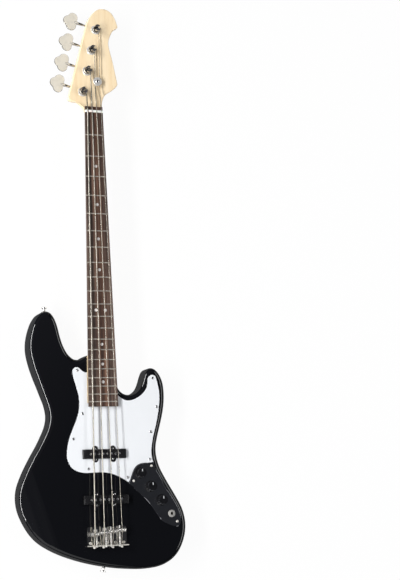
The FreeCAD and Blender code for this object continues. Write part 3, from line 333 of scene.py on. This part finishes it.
def bump(tree, shader, height, depth):
    node = tree.nodes.new("ShaderNodeBump")
    node.inputs["Strength"].default_value = 1.0
    node.inputs["Distance"].default_value = depth * mm
    tree.links.new(height, node.inputs["Height"])
    tree.links.new(node.outputs["Normal"], shader.inputs["Normal"])


# Finishes, one for each material slot of the record, and closer ones for some nodes

def black_lacquer():
    # One thin hard coat over black: its gloss is clear face on and grows little towards the edge.
    material, tree, shader = new_material("black_lacquer", (0.0038, 0.0041, 0.0054))
    shader.inputs["Specular IOR Level"].default_value = 0.0
    shader.inputs["Coat Weight"].default_value = 0.11
    shader.inputs["Coat IOR"].default_value = 4.0
    shader.inputs["Coat Roughness"].default_value = 0.02
    swirls = noise(tree, coordinates(tree), scale=60.0, detail=6.0, distortion=1.5)
    tree.links.new(spread(tree, swirls, low=0.25, high=0.4), shader.inputs["Roughness"])
    bump(tree, shader, noise(tree, coordinates(tree), scale=140.0, detail=2.0), lacquer_ripple)
    return material


def white_guard():
    # White over a black core, which shows as a thin line in the bevelled edge.
    white, core = (0.84, 0.86, 0.885), (0.02, 0.02, 0.02)
    material, tree, shader = new_material("white_guard", white, roughness=0.16)
    height = along(tree, upward, body_top, guard_top)
    plies = ramp(tree, height, [(0.0, white), (0.62, core), (0.76, white)])
    plies.node.color_ramp.interpolation = "CONSTANT"
    cloud = noise(tree, coordinates(tree), scale=18.0)
    shade = ramp(tree, cloud, [(0.3, (0.97, 0.97, 0.97)), (0.7, plain)])
    tree.links.new(multiplied(tree, plies, shade), shader.inputs["Base Color"])
    scuffs = noise(tree, coordinates(tree), scale=220.0, detail=5.0)
    tree.links.new(spread(tree, scuffs, low=0.12, high=0.24), shader.inputs["Roughness"])
    return material


def polished(name, colour, low, high, metallic=1.0, grain=plain, depth=plated_ripple):
    # Plated or polished metal, with fine wiping marks that change its roughness from low to high.
    material, tree, shader = new_material(name, colour, metallic=metallic)
    marks = noise(tree, coordinates(tree, grain), scale=320.0, detail=6.0, distortion=0.6)
    tree.links.new(spread(tree, marks, low, high), shader.inputs["Roughness"])
    stain = noise(tree, coordinates(tree), scale=90.0, detail=3.0)
    worn = tuple(channel * worn_share for channel in colour)
    tree.links.new(ramp(tree, stain, [(0.35, worn), (0.6, colour)]), shader.inputs["Base Color"])
    bump(tree, shader, marks, depth)
    return material


def maple():
    # Pale wood with soft rings and fine pores along the neck, under a satin coat.
    material, tree, shader = new_material("maple", (0.88, 0.70, 0.46), roughness=0.35)
    shader.inputs["Coat Weight"].default_value = 0.35
    shader.inputs["Coat Roughness"].default_value = 0.18
    rings = noise(tree, coordinates(tree, (55.0, 3.2, 40.0)), scale=1.0, detail=5.0, distortion=0.8)
    base = ramp(tree, rings, [(0.30, (0.87, 0.66, 0.40)), (0.47, (0.94, 0.75, 0.485)),
                              (0.68, (0.97, 0.80, 0.55))])
    flecks = noise(tree, coordinates(tree, (900.0, 60.0, 900.0)), scale=1.0, detail=2.0)
    pores = ramp(tree, flecks, [(0.26, (0.82, 0.76, 0.68)), (0.40, plain)])
    tree.links.new(multiplied(tree, base, pores, share=0.6), shader.inputs["Base Color"])
    tree.links.new(spread(tree, flecks, low=0.42, high=0.30), shader.inputs["Roughness"])
    bump(tree, shader, flecks, maple_pores)
    return material


def rosewood():
    # Dark streaks along the board, with redder heartwood near its middle.
    material, tree, shader = new_material("rosewood", (0.07, 0.04, 0.03), roughness=0.5)
    streaks = noise(tree, coordinates(tree, (190.0, 4.5, 190.0)), scale=1.0, detail=6.0, distortion=0.5)
    base = ramp(tree, streaks, [(0.30, (0.028, 0.015, 0.012)), (0.48, (0.079, 0.049, 0.036)),
                                (0.60, (0.128, 0.081, 0.060)), (0.75, (0.180, 0.120, 0.092))])
    flecks = noise(tree, coordinates(tree, (1600.0, 90.0, 1600.0)), scale=1.0, detail=2.0)
    pores = ramp(tree, flecks, [(0.30, (0.35, 0.32, 0.30)), (0.45, plain)])
    across = along(tree, crosswise, -heartwood_half, heartwood_half)
    heart = ramp(tree, across, [(0.20, (0.93, 0.97, 1.01)), (0.48, (1.40, 1.11, 0.94)),
                                (0.66, (1.32, 1.09, 0.94)), (0.90, (1.10, 1.05, 1.03))])
    wood = multiplied(tree, multiplied(tree, base, heart), pores, share=0.8)
    tree.links.new(wood, shader.inputs["Base Color"])
    tree.links.new(spread(tree, flecks, low=0.62, high=0.40), shader.inputs["Roughness"])
    bump(tree, shader, flecks, rosewood_pores)
    return material


def pearl_dot():
    material, tree, shader = new_material("pearl_dot", (0.9, 0.9, 0.87), roughness=0.18)
    swirl = noise(tree, coordinates(tree), scale=420.0, detail=3.0, distortion=3.0)
    pearl = ramp(tree, swirl, [(0.3, (0.62, 0.60, 0.57)), (0.55, (0.76, 0.73, 0.70)),
                               (0.75, (0.84, 0.81, 0.78))])
    tree.links.new(pearl, shader.inputs["Base Color"])
    tree.links.new(spread(tree, swirl, low=0.12, high=0.26), shader.inputs["Roughness"])
    return material


def nut_white():
    material, tree, shader = new_material("nut_white", (0.92, 0.91, 0.86), roughness=0.35)
    shader.inputs["Subsurface Weight"].default_value = 0.1
    shader.inputs["Subsurface Scale"].default_value = nut_scatter * mm
    cloud = noise(tree, coordinates(tree, (1.0, 1.0, 3.0)), scale=260.0)
    bone = ramp(tree, cloud, [(0.3, (0.86, 0.84, 0.77)), (0.6, (0.94, 0.93, 0.89))])
    tree.links.new(bone, shader.inputs["Base Color"])
    tree.links.new(spread(tree, cloud, low=0.28, high=0.45), shader.inputs["Roughness"])
    return material


def moulded(name, colour, low, high, grain):
    # Black moulded plastic with a little dust, and a fine texture that changes its roughness too.
    material, tree, shader = new_material(name, colour)
    texture = noise(tree, coordinates(tree), grain)
    tree.links.new(spread(tree, texture, low, high), shader.inputs["Roughness"])
    dust = noise(tree, coordinates(tree), scale=70.0, detail=5.0)
    dusty = tuple(channel * dust_lift for channel in colour)
    tree.links.new(ramp(tree, dust, [(0.4, colour), (0.8, dusty)]), shader.inputs["Base Color"])
    bump(tree, shader, texture, moulded_grain)
    return material


def wound_string():
    # Round-wound wire: turns across the string, close together, with painted shade in the gaps between
    # them.
    material, tree, shader = new_material("string_nickel", (0.43, 0.40, 0.35), metallic=1.0, roughness=0.3)
    turns = waves(tree, coordinates(tree), scale=310.0, direction="Y", distortion=0.2)
    # The darker colour between the turns is painted shade in the grooves.
    wire = ramp(tree, turns, [(0.0, (0.28, 0.262, 0.227)), (0.5, (0.42, 0.393, 0.34))])
    tree.links.new(wire, shader.inputs["Base Color"])
    wear = noise(tree, coordinates(tree), scale=150.0)
    tree.links.new(spread(tree, wear, low=0.26, high=0.34), shader.inputs["Roughness"])
    bump(tree, shader, turns, winding_ripple)
    return material


def two_metals(name, share, first, second):
    # Metal that changes along a share of 0 to 1; each finish is a colour, a metallic and a roughness.
    material, tree, shader = new_material(name, second[0])
    mask = share(tree)
    stain = noise(tree, coordinates(tree), scale=90.0, detail=3.0)
    cloud = ramp(tree, stain, [(0.35, (0.92, 0.92, 0.91)), (0.6, plain)])
    base = ramp(tree, mask, [(0.0, first[0]), (1.0, second[0])])
    tree.links.new(multiplied(tree, base, cloud), shader.inputs["Base Color"])
    for socket, start, end in (("Metallic", first[1], second[1]), ("Roughness", first[2], second[2])):
        value = ramp(tree, mask, [(0.0, (start, start, start)), (1.0, (end, end, end))])
        tree.links.new(value, shader.inputs[socket])
    marks = noise(tree, coordinates(tree), scale=320.0, detail=6.0, distortion=0.6)
    bump(tree, shader, marks, plated_ripple)
    return material


def painted_pale_share(tree):
    # The flat faces of the keys, beyond their stems, which are painted pale as a painted reflection; the
    # paddles' edges keep the stems' darker colour.
    row = first_post[0] * key_side[0] + first_post[1] * key_side[1]
    beyond = along(tree, key_side, row + paddle_start - paddle_blend, row + paddle_start)
    source = tree.nodes.new("ShaderNodeTexCoord")
    split = tree.nodes.new("ShaderNodeSeparateXYZ")
    tree.links.new(source.outputs["Normal"], split.inputs["Vector"])
    size = tree.nodes.new("ShaderNodeMath")
    size.operation = "ABSOLUTE"
    tree.links.new(split.outputs["Z"], size.inputs[0])
    flat = ranged(tree, size.outputs["Value"], *paddle_flat_range)
    share = tree.nodes.new("ShaderNodeMath")
    share.operation = "MULTIPLY"
    tree.links.new(beyond, share.inputs[0])
    tree.links.new(flat.outputs["Result"], share.inputs[1])
    return share.outputs["Value"]


def key_nickel():
    # Satin paddles on polished stems: the paddles' flat faces are painted pale and their edges dark, as
    # painted reflection.
    stem = ((0.50, 0.48, 0.45), 1.0, 0.12)
    paddle_painted_pale = ((0.86, 0.81, 0.70), 0.25, 0.34)
    return two_metals("key_nickel", painted_pale_share, stem, paddle_painted_pale)


def painted_wall_share(tree):
    # The bent-up wall, above the base's top, which is painted brighter as a painted reflection.
    return along(tree, upward, bridge_top, bridge_top + bridge_wall_blend)


def bridge_nickel():
    # A polished base with a bent-up wall painted brighter and paler, as a painted reflection.
    base = ((0.66, 0.65, 0.63), 1.0, 0.10)
    wall = ((0.84, 0.81, 0.74), 0.45, 0.28)
    return two_metals("bridge_nickel", painted_wall_share, base, wall)


def barrel_steel():
    # Saddles are cut with a fine screw thread across the strings; its grooves carry painted shade.
    material, tree, shader = new_material("saddle_steel", (0.84, 0.83, 0.80), metallic=0.85,
                                          roughness=0.24)
    thread = waves(tree, coordinates(tree), scale=390.0, direction="X")
    # The thread's grooves are painted darker, as painted shade.
    steel_with_painted_shade = ramp(tree, thread, [(0.0, (0.46, 0.45, 0.43)), (0.45, (0.88, 0.86, 0.82))])
    tree.links.new(steel_with_painted_shade, shader.inputs["Base Color"])
    bump(tree, shader, thread, saddle_thread)
    return material


finishes = {
    "black_lacquer": black_lacquer(),
    "white_guard": white_guard(),
    "polished_plate": polished("polished_plate", (0.60, 0.61, 0.64), 0.03, 0.09, grain=(1.0, 6.0, 1.0),
                               depth=mirror_ripple),
    "maple": maple(),
    "rosewood": rosewood(),
    "fret_wire": polished("fret_wire", (0.86, 0.80, 0.70), 0.16, 0.28, metallic=0.65),
    "pearl_dot": pearl_dot(),
    "nut_white": nut_white(),
    "rod_steel": polished("rod_steel", (0.42, 0.42, 0.43), 0.25, 0.45),
    "chrome_hardware": polished("chrome_hardware", (0.72, 0.72, 0.72), 0.06, 0.14),
    "nickel_tuner": polished("nickel_tuner", (0.86, 0.83, 0.77), 0.26, 0.38, metallic=0.25),
    "tuner_brass": polished("tuner_brass", (0.73, 0.56, 0.27), 0.2, 0.36),
    "black_cover": moulded("black_cover", (0.008, 0.008, 0.009), 0.16, 0.30, grain=900.0),
    "pole_steel": polished("pole_steel", (0.60, 0.60, 0.61), 0.2, 0.34),
    "black_knob": moulded("black_knob", (0.006, 0.006, 0.007), 0.05, 0.10, grain=500.0),
    "spring_steel": polished("spring_steel", (0.84, 0.81, 0.75), 0.2, 0.3, metallic=0.7),
    "string_nickel": wound_string(),
}
satin = polished("satin_nickel", (0.80, 0.79, 0.76), 0.20, 0.32, metallic=0.5)
own_finishes = {
    "saddle_": barrel_steel(),
    "tuner_key_": key_nickel(),
    "tuner_post_": polished("post_nickel", (0.78, 0.76, 0.73), 0.05, 0.12),
    "bridge_plate": bridge_nickel(),
    "intonation_screw_": satin,
    "string_retainer": satin,
    "tuner_bushings": polished("bushing_nickel", (0.88, 0.87, 0.84), 0.16, 0.26, metallic=0.4),
    "jack": polished("jack_nickel", (0.86, 0.84, 0.80), 0.10, 0.18, metallic=0.65),
    "strap_buttons": polished("button_nickel", (0.82, 0.81, 0.79), 0.08, 0.16, metallic=0.85),
}


def dress_nodes():
    # Each node takes its slot's finish, or a closer one by the start of its name.
    for part in frame["record"]["subparts"]:
        node = nodes[part["node"]]
        finish = finishes[part["material_slot"]]
        for start, own in own_finishes.items():
            if part["node"].startswith(start):
                finish = own
        node.data.materials.clear()
        node.data.materials.append(finish)


# Small pieces, built in millimetres

def add_piece(name, data, slot):
    # A piece in the finish of its slot.
    data.materials.clear()
    data.materials.append(finishes[slot])
    piece = bpy.data.objects.new(name, data)
    bpy.context.scene.collection.objects.link(piece)
    return piece


def add_mesh(name, shells, slot, body):
    # Each shell is a list of rings with as many points, closed at both ends.
    points, faces = [], []
    for rings in shells:
        start, count = len(points), len(rings[0])
        for ring in rings:
            points += [(x * mm, y * mm, z * mm) for x, y, z in ring]
        for row in range(len(rings) - 1):
            low = start + row * count
            for spot in range(count):
                after = (spot + 1) % count
                faces.append((low + spot, low + after, low + count + after, low + count + spot))
        faces.append(tuple(range(start, start + count))[::-1])
        faces.append(tuple(range(len(points) - count, len(points))))
    mesh = bpy.data.meshes.new(name)
    mesh.from_pydata(points, [], faces)
    mesh.shade_smooth()
    mesh.set_sharp_from_angle(angle=math.radians(piece_sharp_deg))
    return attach(add_piece(name, mesh, slot), body)


def cross_reach(angle, arm, half):
    # Distance from the middle of a plus sign to its edge.
    ahead = abs(math.cos(angle)) + least_divisor
    aside = abs(math.sin(angle)) + least_divisor
    return max(min(arm / ahead, half / aside), min(half / ahead, arm / aside))


def screw_head(place, radius, rise, up=1):
    # A domed head with a cross recess; up is -1 where it faces the back.
    arm, half = cross_arm_share * radius, cross_half_share * radius
    corner = math.atan2(half, arm)
    offsets = [-corner, corner] + [math.radians(turn) for turn in head_round_deg]
    angles = [quarter * math.pi / 2 + offset for quarter in range(4) for offset in offsets]
    rings = [[(radius * wide, rise * high) for angle in angles] for wide, high in head_profile_shares]
    reaches = [cross_reach(angle, arm, half) for angle in angles]
    inward, deep = cross_floor_shares
    rings += [[(far, rise) for far in reaches], [(inward * far, deep * rise) for far in reaches]]
    x, y, z = place
    shell = []
    for ring in rings:
        points = [(x + far * math.cos(angle), y + far * math.sin(angle), z + up * high)
                  for (far, high), angle in zip(ring, angles)]
        shell.append(points[::up])
    return shell


def heads(places, z, form, up=1):
    # Heads of one radius and rise, standing on one plane.
    return [screw_head((x, y, z), *form, up) for x, y in places]


def tuner_screw_places():
    # Four screws round each post, on the plates behind the head.
    out = Vector(key_side)
    down = Vector((-math.sin(post_line), -math.cos(post_line), 0.0))
    centres = [post_centre(index) for index in range(len(string_names))]
    return [(centre + out * x + down * y).xy for centre in centres for x, y in tuner_screws]


def neck_screw_places():
    # The corners of the solids' box, less a head's radius, and the plane that the heads stand on.
    radius, rise = neck_screw
    low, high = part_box("neck_screws")
    xs = (low[0] / mm + radius, high[0] / mm - radius)
    ys = (low[1] / mm + radius, high[1] / mm - radius)
    return [(x, y) for x in xs for y in ys], low[2] / mm + rise


def retainer_place():
    y = scale_length + retainer_reach
    x = sum(behind_nut_x(index, y) for index in retained_strings) / len(retained_strings)
    return x, y


def add_screws():
    guard = heads(guard_screws, guard_top, guard_screw)
    add_mesh("pickguard_screws", guard, "pole_steel", "instrument")
    plate = heads(plate_screws, plate_top, plate_screw)
    add_mesh("control_plate_screws", plate, "nickel_tuner", "instrument")
    bridge = heads(bridge_screws, bridge_top, bridge_screw)
    add_mesh("bridge_screws", bridge, "nickel_tuner", "instrument")
    for body, (y, z) in pickup_places.items():
        places = [(x, y + shift) for x, shift in ear_screws]
        add_mesh(body + "_screws", heads(places, z, ear_screw), "chrome_hardware", body)
    tuners = heads(tuner_screw_places(), tuner_plate_back, tuner_screw, -1)
    add_mesh("tuner_screws", tuners, "nickel_tuner", "instrument")
    retainer = heads([retainer_place()], retainer_top, retainer_screw)
    add_mesh("retainer_screw", retainer, "chrome_hardware", "instrument")
    places, z = neck_screw_places()
    neck = heads(places, z, neck_screw, -1)
    bolts = add_mesh("neck_plate_screws", neck, "chrome_hardware", "instrument")
    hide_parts("neck_screws")


def add_pointers():
    # A white line let into the top of each knob, round at its inner end.
    half = pointer_width / 2
    start, end = (share * knob_cap_radius for share in pointer_shares)
    turns = [math.pi * (1 + step / pointer_round_steps) for step in range(pointer_round_steps + 1)]
    for number in range(knob_count):
        x = control_start[0] + number * control_step[0]
        y = control_start[1] + number * control_step[1]
        inner = [(x + half * math.cos(turn), y + start + half * math.sin(turn)) for turn in turns]
        outline = inner + [(x + half, y + end), (x - half, y + end)]
        levels = (knob_top - pointer_depth, knob_top - pointer_sink)
        rings = [[(px, py, z) for px, py in outline] for z in levels]
        body = "knob_" + str(number + 1)
        add_mesh(body + "_pointer", [rings], "white_guard", body)


# Strings and springs, as smooth curves with a round section

def string_x(index, width):
    return width * (index / (len(string_names) - 1) - 0.5)


def rest_height(x, gap):
    # The underside of a string over the crowned board.
    return board_top + fret_height + gap - x ** 2 / (2 * board_radius)


def nut_point(index):
    x = string_x(index, nut_spread)
    return Vector((x, scale_length, rest_height(x, first_fret_gap) + string_gauges[index] / 2))


def bridge_point(index):
    x = string_x(index, bridge_spread)
    return Vector((x, 0.0, rest_height(x, 2 * octave_action - first_fret_gap) + string_gauges[index] / 2))


def saddle_height(index):
    return bridge_point(index).z - string_gauges[index] / 2 - saddle_radius + saddle_groove


def post_centre(index):
    step = index * post_spacing
    x = first_post[0] + step * math.sin(post_line)
    y = first_post[1] + step * math.cos(post_line)
    return Vector((x, y, 0.0))


def winding_reach(index):
    return post_waist + wire_gap + string_gauges[index] / 2


def leaving_turn(index):
    # The bearing from the post at which the string leaves it on the treble side.
    to_nut = Vector((string_x(index, nut_spread), scale_length + nut_length)) - post_centre(index).xy
    return math.atan2(to_nut.y, to_nut.x) + math.acos(winding_reach(index) / to_nut.length)


def behind_nut_x(index, y):
    # Where a string crosses a line between its post and the nut.
    turn, start_y = leaving_turn(index), scale_length + nut_length
    leave = post_centre(index).xy + Vector((math.cos(turn), math.sin(turn))) * winding_reach(index)
    start = string_x(index, nut_spread)
    return start + (leave.x - start) * (y - start_y) / (leave.y - start_y)


def around(centre, distance, turn, z):
    return Vector((centre.x + distance * math.cos(turn), centre.y + distance * math.sin(turn), z))


def winding(index):
    # From the slot in the post down its turns to the point where the string leaves it.
    centre, radius, turn = post_centre(index), winding_reach(index), leaving_turn(index)
    gauge = string_gauges[index]
    pitch = gauge + winding_gap
    low = winding_floor + gauge / 2 + wire_gap
    high = low + pitch * winding_turns
    bend = winding_bend_share * gauge
    slot = turn + math.asin(bend / (radius - bend))
    straight = math.sqrt((radius - bend) ** 2 - bend ** 2)
    lead = (-winding_tail, winding_lead_share * straight, straight)
    points = [around(centre, distance, slot, high) for distance in lead]
    # The points stand outside the circle, half a step aside, so that the curve runs along it.
    step = 2 * math.pi / coil_points
    outer = radius / math.cos(step / 2)
    for number in range(winding_turns * coil_points + 1):
        fall = pitch * max(0.0, number - 0.5) / coil_points
        points.append(around(centre, outer, turn + step * (0.5 - number), high - fall))
    return points, around(centre, radius, turn, low)


def saddle_corner(index, start, end):
    # Where the two runs over a saddle would meet, both tangent to its groove.
    wrap = saddle_radius - saddle_groove + string_gauges[index] / 2
    lines = []
    for point, side in ((start, -1), (end, 1)):
        run = (-saddle_setbacks[index] - point.y, saddle_height(index) - point.z)
        bearing = math.atan2(run[1], run[0]) + side * math.asin(wrap / math.hypot(*run))
        lines.append((point.y, point.z, math.tan(bearing)))
    (y1, z1, slope1), (y2, z2, slope2) = lines
    y = (z2 - z1 + slope1 * y1 - slope2 * y2) / (slope1 - slope2)
    x = end.x + (start.x - end.x) * (y - end.y) / (start.y - end.y)
    return Vector((x, y, z1 + slope1 * (y - y1))), wrap


def eased(before, corner, after, radius):
    # A corner with a point on each side, so that the curve bends there with about that radius.
    heading, leaving = (corner - before).normalized(), (after - corner).normalized()
    distance = 2 * radius * math.tan(heading.angle(leaving) / 2)
    return [corner - heading * distance, corner, corner + leaving * distance]


def string_routes(index):
    # One run from the post to the crown of the saddle, and one from there to the ball end.
    front, leave = winding(index)
    run = (nut_point(index) - bridge_point(index)).normalized()
    behind_nut = nut_point(index) + run * (nut_length + nut_bend_past)
    hole_x = bridge_point(index).x - run.x / run.y * bridge_back
    hole = Vector((hole_x, -bridge_back, bridge_top + anchor_height))
    over, wrap = saddle_corner(index, behind_nut, hole)
    knots = [leave]
    if index in retained_strings:
        y = scale_length + retainer_reach - retainer_radius - nut_bend_past
        knots.append(Vector((behind_nut_x(index, y), y, retainer_z - string_gauges[index] / 2)))
    knots += [behind_nut, over]
    for before, corner, after in zip(knots, knots[1:], knots[2:]):
        front += eased(before, corner, after, string_bend)
    # The crown is the middle of the quadratic curve there, and the points beside it keep its bend.
    first, corner, last = eased(behind_nut, over, hole, wrap)
    crown = (first + 6 * corner + last) / 8
    front += [first, (first + 3 * corner) / 4, crown]
    return front, [crown, (last + 3 * corner) / 4, last, hole]


def spring_route(index):
    # A helix round the intonation screw, from the bridge's wall to the saddle.
    side = 1 if index < len(string_names) / 2 else -1
    axis = Vector((string_x(index, bridge_spread) + side * screw_offset, 0.0, saddle_height(index)))
    start = bridge_wall_front + spring_wire / 2
    end = -saddle_setbacks[index] - saddle_radius - wire_gap
    points = []
    steps = spring_turns * coil_points
    outer = spring_radius / math.cos(math.pi / coil_points)
    for number in range(steps + 1):
        turn = 2 * math.pi * number / coil_points
        y = start + (end - spring_wire / 2 - start) * number / steps
        points.append(axis + Vector((outer * math.cos(turn), y, outer * math.sin(turn))))
    return points


def wire_mesh(name, route, radius, detail):
    # A round tube along a quadratic curve that starts and ends where the route does.
    data = bpy.data.curves.new(name, "CURVE")
    data.dimensions = "3D"
    data.bevel_depth = radius * mm
    data.bevel_resolution = detail
    data.use_fill_caps = True
    data.resolution_u = detail + 1
    spline = data.splines.new("NURBS")
    spline.points.add(len(route) - 1)
    for spot, point in zip(spline.points, route):
        spot.co = (*(point * mm), 1.0)
    spline.order_u = 3
    spline.use_endpoint_u = True
    line = bpy.data.objects.new(name + "_line", data)
    mesh = bpy.data.meshes.new_from_object(line)
    bpy.data.objects.remove(line)
    mesh.set_sharp_from_angle(angle=math.radians(wire_sharp_deg))
    return mesh


def add_wire(name, mesh, slot, node):
    # A wire as a piece of its own, in place of the node that it stands for; it stays where it was built.
    wire = add_piece(name, mesh, slot)
    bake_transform(wire)
    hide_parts(node)


def ball_end(hole):
    # The barrel that holds a string's end behind the bridge.
    turns = [2 * math.pi * step / ball_sides for step in range(ball_sides)]
    rings = []
    for wide, back in ball_profile_shares:
        radius, y = ball_radius * wide, hole.y - ball_length * back
        rings.append([(hole.x + radius * math.sin(turn), y, hole.z + radius * math.cos(turn))
                      for turn in turns])
    return rings


def add_strings():
    balls = []
    for index, letter in enumerate(string_names):
        node, body = "string_" + letter, "saddle_" + letter
        thick, seat = string_gauges[index] / 2, -saddle_setbacks[index]
        front, back = string_routes(index)
        for part, route, held in (("_wire", front, scale_length), ("_tail", back, -bridge_back)):
            mesh = wire_mesh(node + part, route, thick, string_detail)
            add_wire(node + part, mesh, "string_nickel", node)
        spring = wire_mesh("spring_" + letter, spring_route(index), spring_wire / 2, spring_detail)
        add_wire("spring_" + letter, spring, "spring_steel", "intonation_springs")
        balls.append(ball_end(back[-1]))
    add_mesh("string_ball_ends", balls, "nickel_tuner", "instrument")


# Stage

def floor_material():
    # White to the camera and in reflections, with enough plain diffuse to keep a soft shadow.
    material = bpy.data.materials.new("studio_floor")
    material.use_nodes = True
    tree = material.node_tree
    tree.nodes.clear()
    paths = tree.nodes.new("ShaderNodeLightPath")
    seen = paths.outputs["Is Camera Ray"]
    for name in ("Is Glossy Ray", "Is Transmission Ray"):
        both = tree.nodes.new("ShaderNodeMath")
        both.operation = "MAXIMUM"
        tree.links.new(seen, both.inputs[0])
        tree.links.new(paths.outputs[name], both.inputs[1])
        seen = both.outputs["Value"]
    share = tree.nodes.new("ShaderNodeMath")
    share.operation = "MULTIPLY"
    share.inputs[1].default_value = floor_glow
    tree.links.new(seen, share.inputs[0])
    matt = tree.nodes.new("ShaderNodeBsdfDiffuse")
    matt.inputs["Color"].default_value = (*floor_white, 1.0)
    glow = tree.nodes.new("ShaderNodeEmission")
    glow.inputs["Strength"].default_value = 1.0
    mix = tree.nodes.new("ShaderNodeMixShader")
    tree.links.new(share.outputs["Value"], mix.inputs["Fac"])
    tree.links.new(matt.outputs["BSDF"], mix.inputs[1])
    tree.links.new(glow.outputs["Emission"], mix.inputs[2])
    output = tree.nodes.new("ShaderNodeOutputMaterial")
    tree.links.new(mix.outputs["Shader"], output.inputs["Surface"])
    return material


def add_floor():
    z = cad_low[2] - floor_gap
    corners = [(x * floor_half, y * floor_half, z) for x, y in ((-1, -1), (1, -1), (1, 1), (-1, 1))]
    mesh = bpy.data.meshes.new("floor")
    mesh.from_pydata(corners, [], [(0, 1, 2, 3)])
    mesh.materials.append(floor_material())
    floor = bpy.data.objects.new("floor", mesh)
    bpy.context.scene.collection.objects.link(floor)


def add_world():
    # Grey round the horizon; overhead dark on the treble side, lighter towards the bass side and the head.
    world = bpy.data.worlds.new("studio")
    bpy.context.scene.world = world
    world.use_nodes = True
    tree = world.node_tree
    source = tree.nodes.new("ShaderNodeTexCoord")
    split = tree.nodes.new("ShaderNodeSeparateXYZ")
    tree.links.new(source.outputs["Generated"], split.inputs["Vector"])
    height = ramp(tree, split.outputs["Z"], world_heights)
    slant = reach(tree, source.outputs["Generated"], world_slant)
    side = ranged(tree, slant, *world_slant_range)
    aside = ramp(tree, side.outputs["Result"], world_sides)
    tree.links.new(multiplied(tree, height, aside), tree.nodes["Background"].inputs["Color"])
    tree.nodes["Background"].inputs["Strength"].default_value = 1.0


def facing(place, aim):
    # A placing that looks at a point, with its upward side along the object's length.
    forward = (Vector(aim) - Vector(place)).normalized()
    right = forward.cross(Vector(lengthwise)).normalized()
    turn = Matrix((right, right.cross(forward), -forward)).transposed().to_4x4()
    return Matrix.Translation(place) @ turn


def add_lamp(name, place, aim, width, length, power):
    data = bpy.data.lights.new(name, "AREA")
    data.shape = "RECTANGLE"
    data.size = width
    data.size_y = length
    data.energy = power
    lamp = bpy.data.objects.new(name, data)
    lamp.matrix_world = facing(place, aim)
    bpy.context.scene.collection.objects.link(lamp)


def add_camera():
    data = bpy.data.cameras.new("camera")
    data.lens = camera_lens
    data.sensor_width = camera_sensor
    data.clip_end = camera_reach
    camera = bpy.data.objects.new("camera", data)
    roll = Matrix.Rotation(math.radians(camera_roll_deg), 4, "Z")
    camera.matrix_world = facing(camera_place, camera_aim) @ roll
    bpy.context.scene.collection.objects.link(camera)
    bpy.context.scene.camera = camera


bpy.context.scene.view_settings.view_transform = "Standard"
dress_nodes()
add_screws()
add_pointers()
add_strings()
add_camera()
add_floor()
add_world()
for lamp_name, settings in lamps.items():
    add_lamp(lamp_name, *settings)
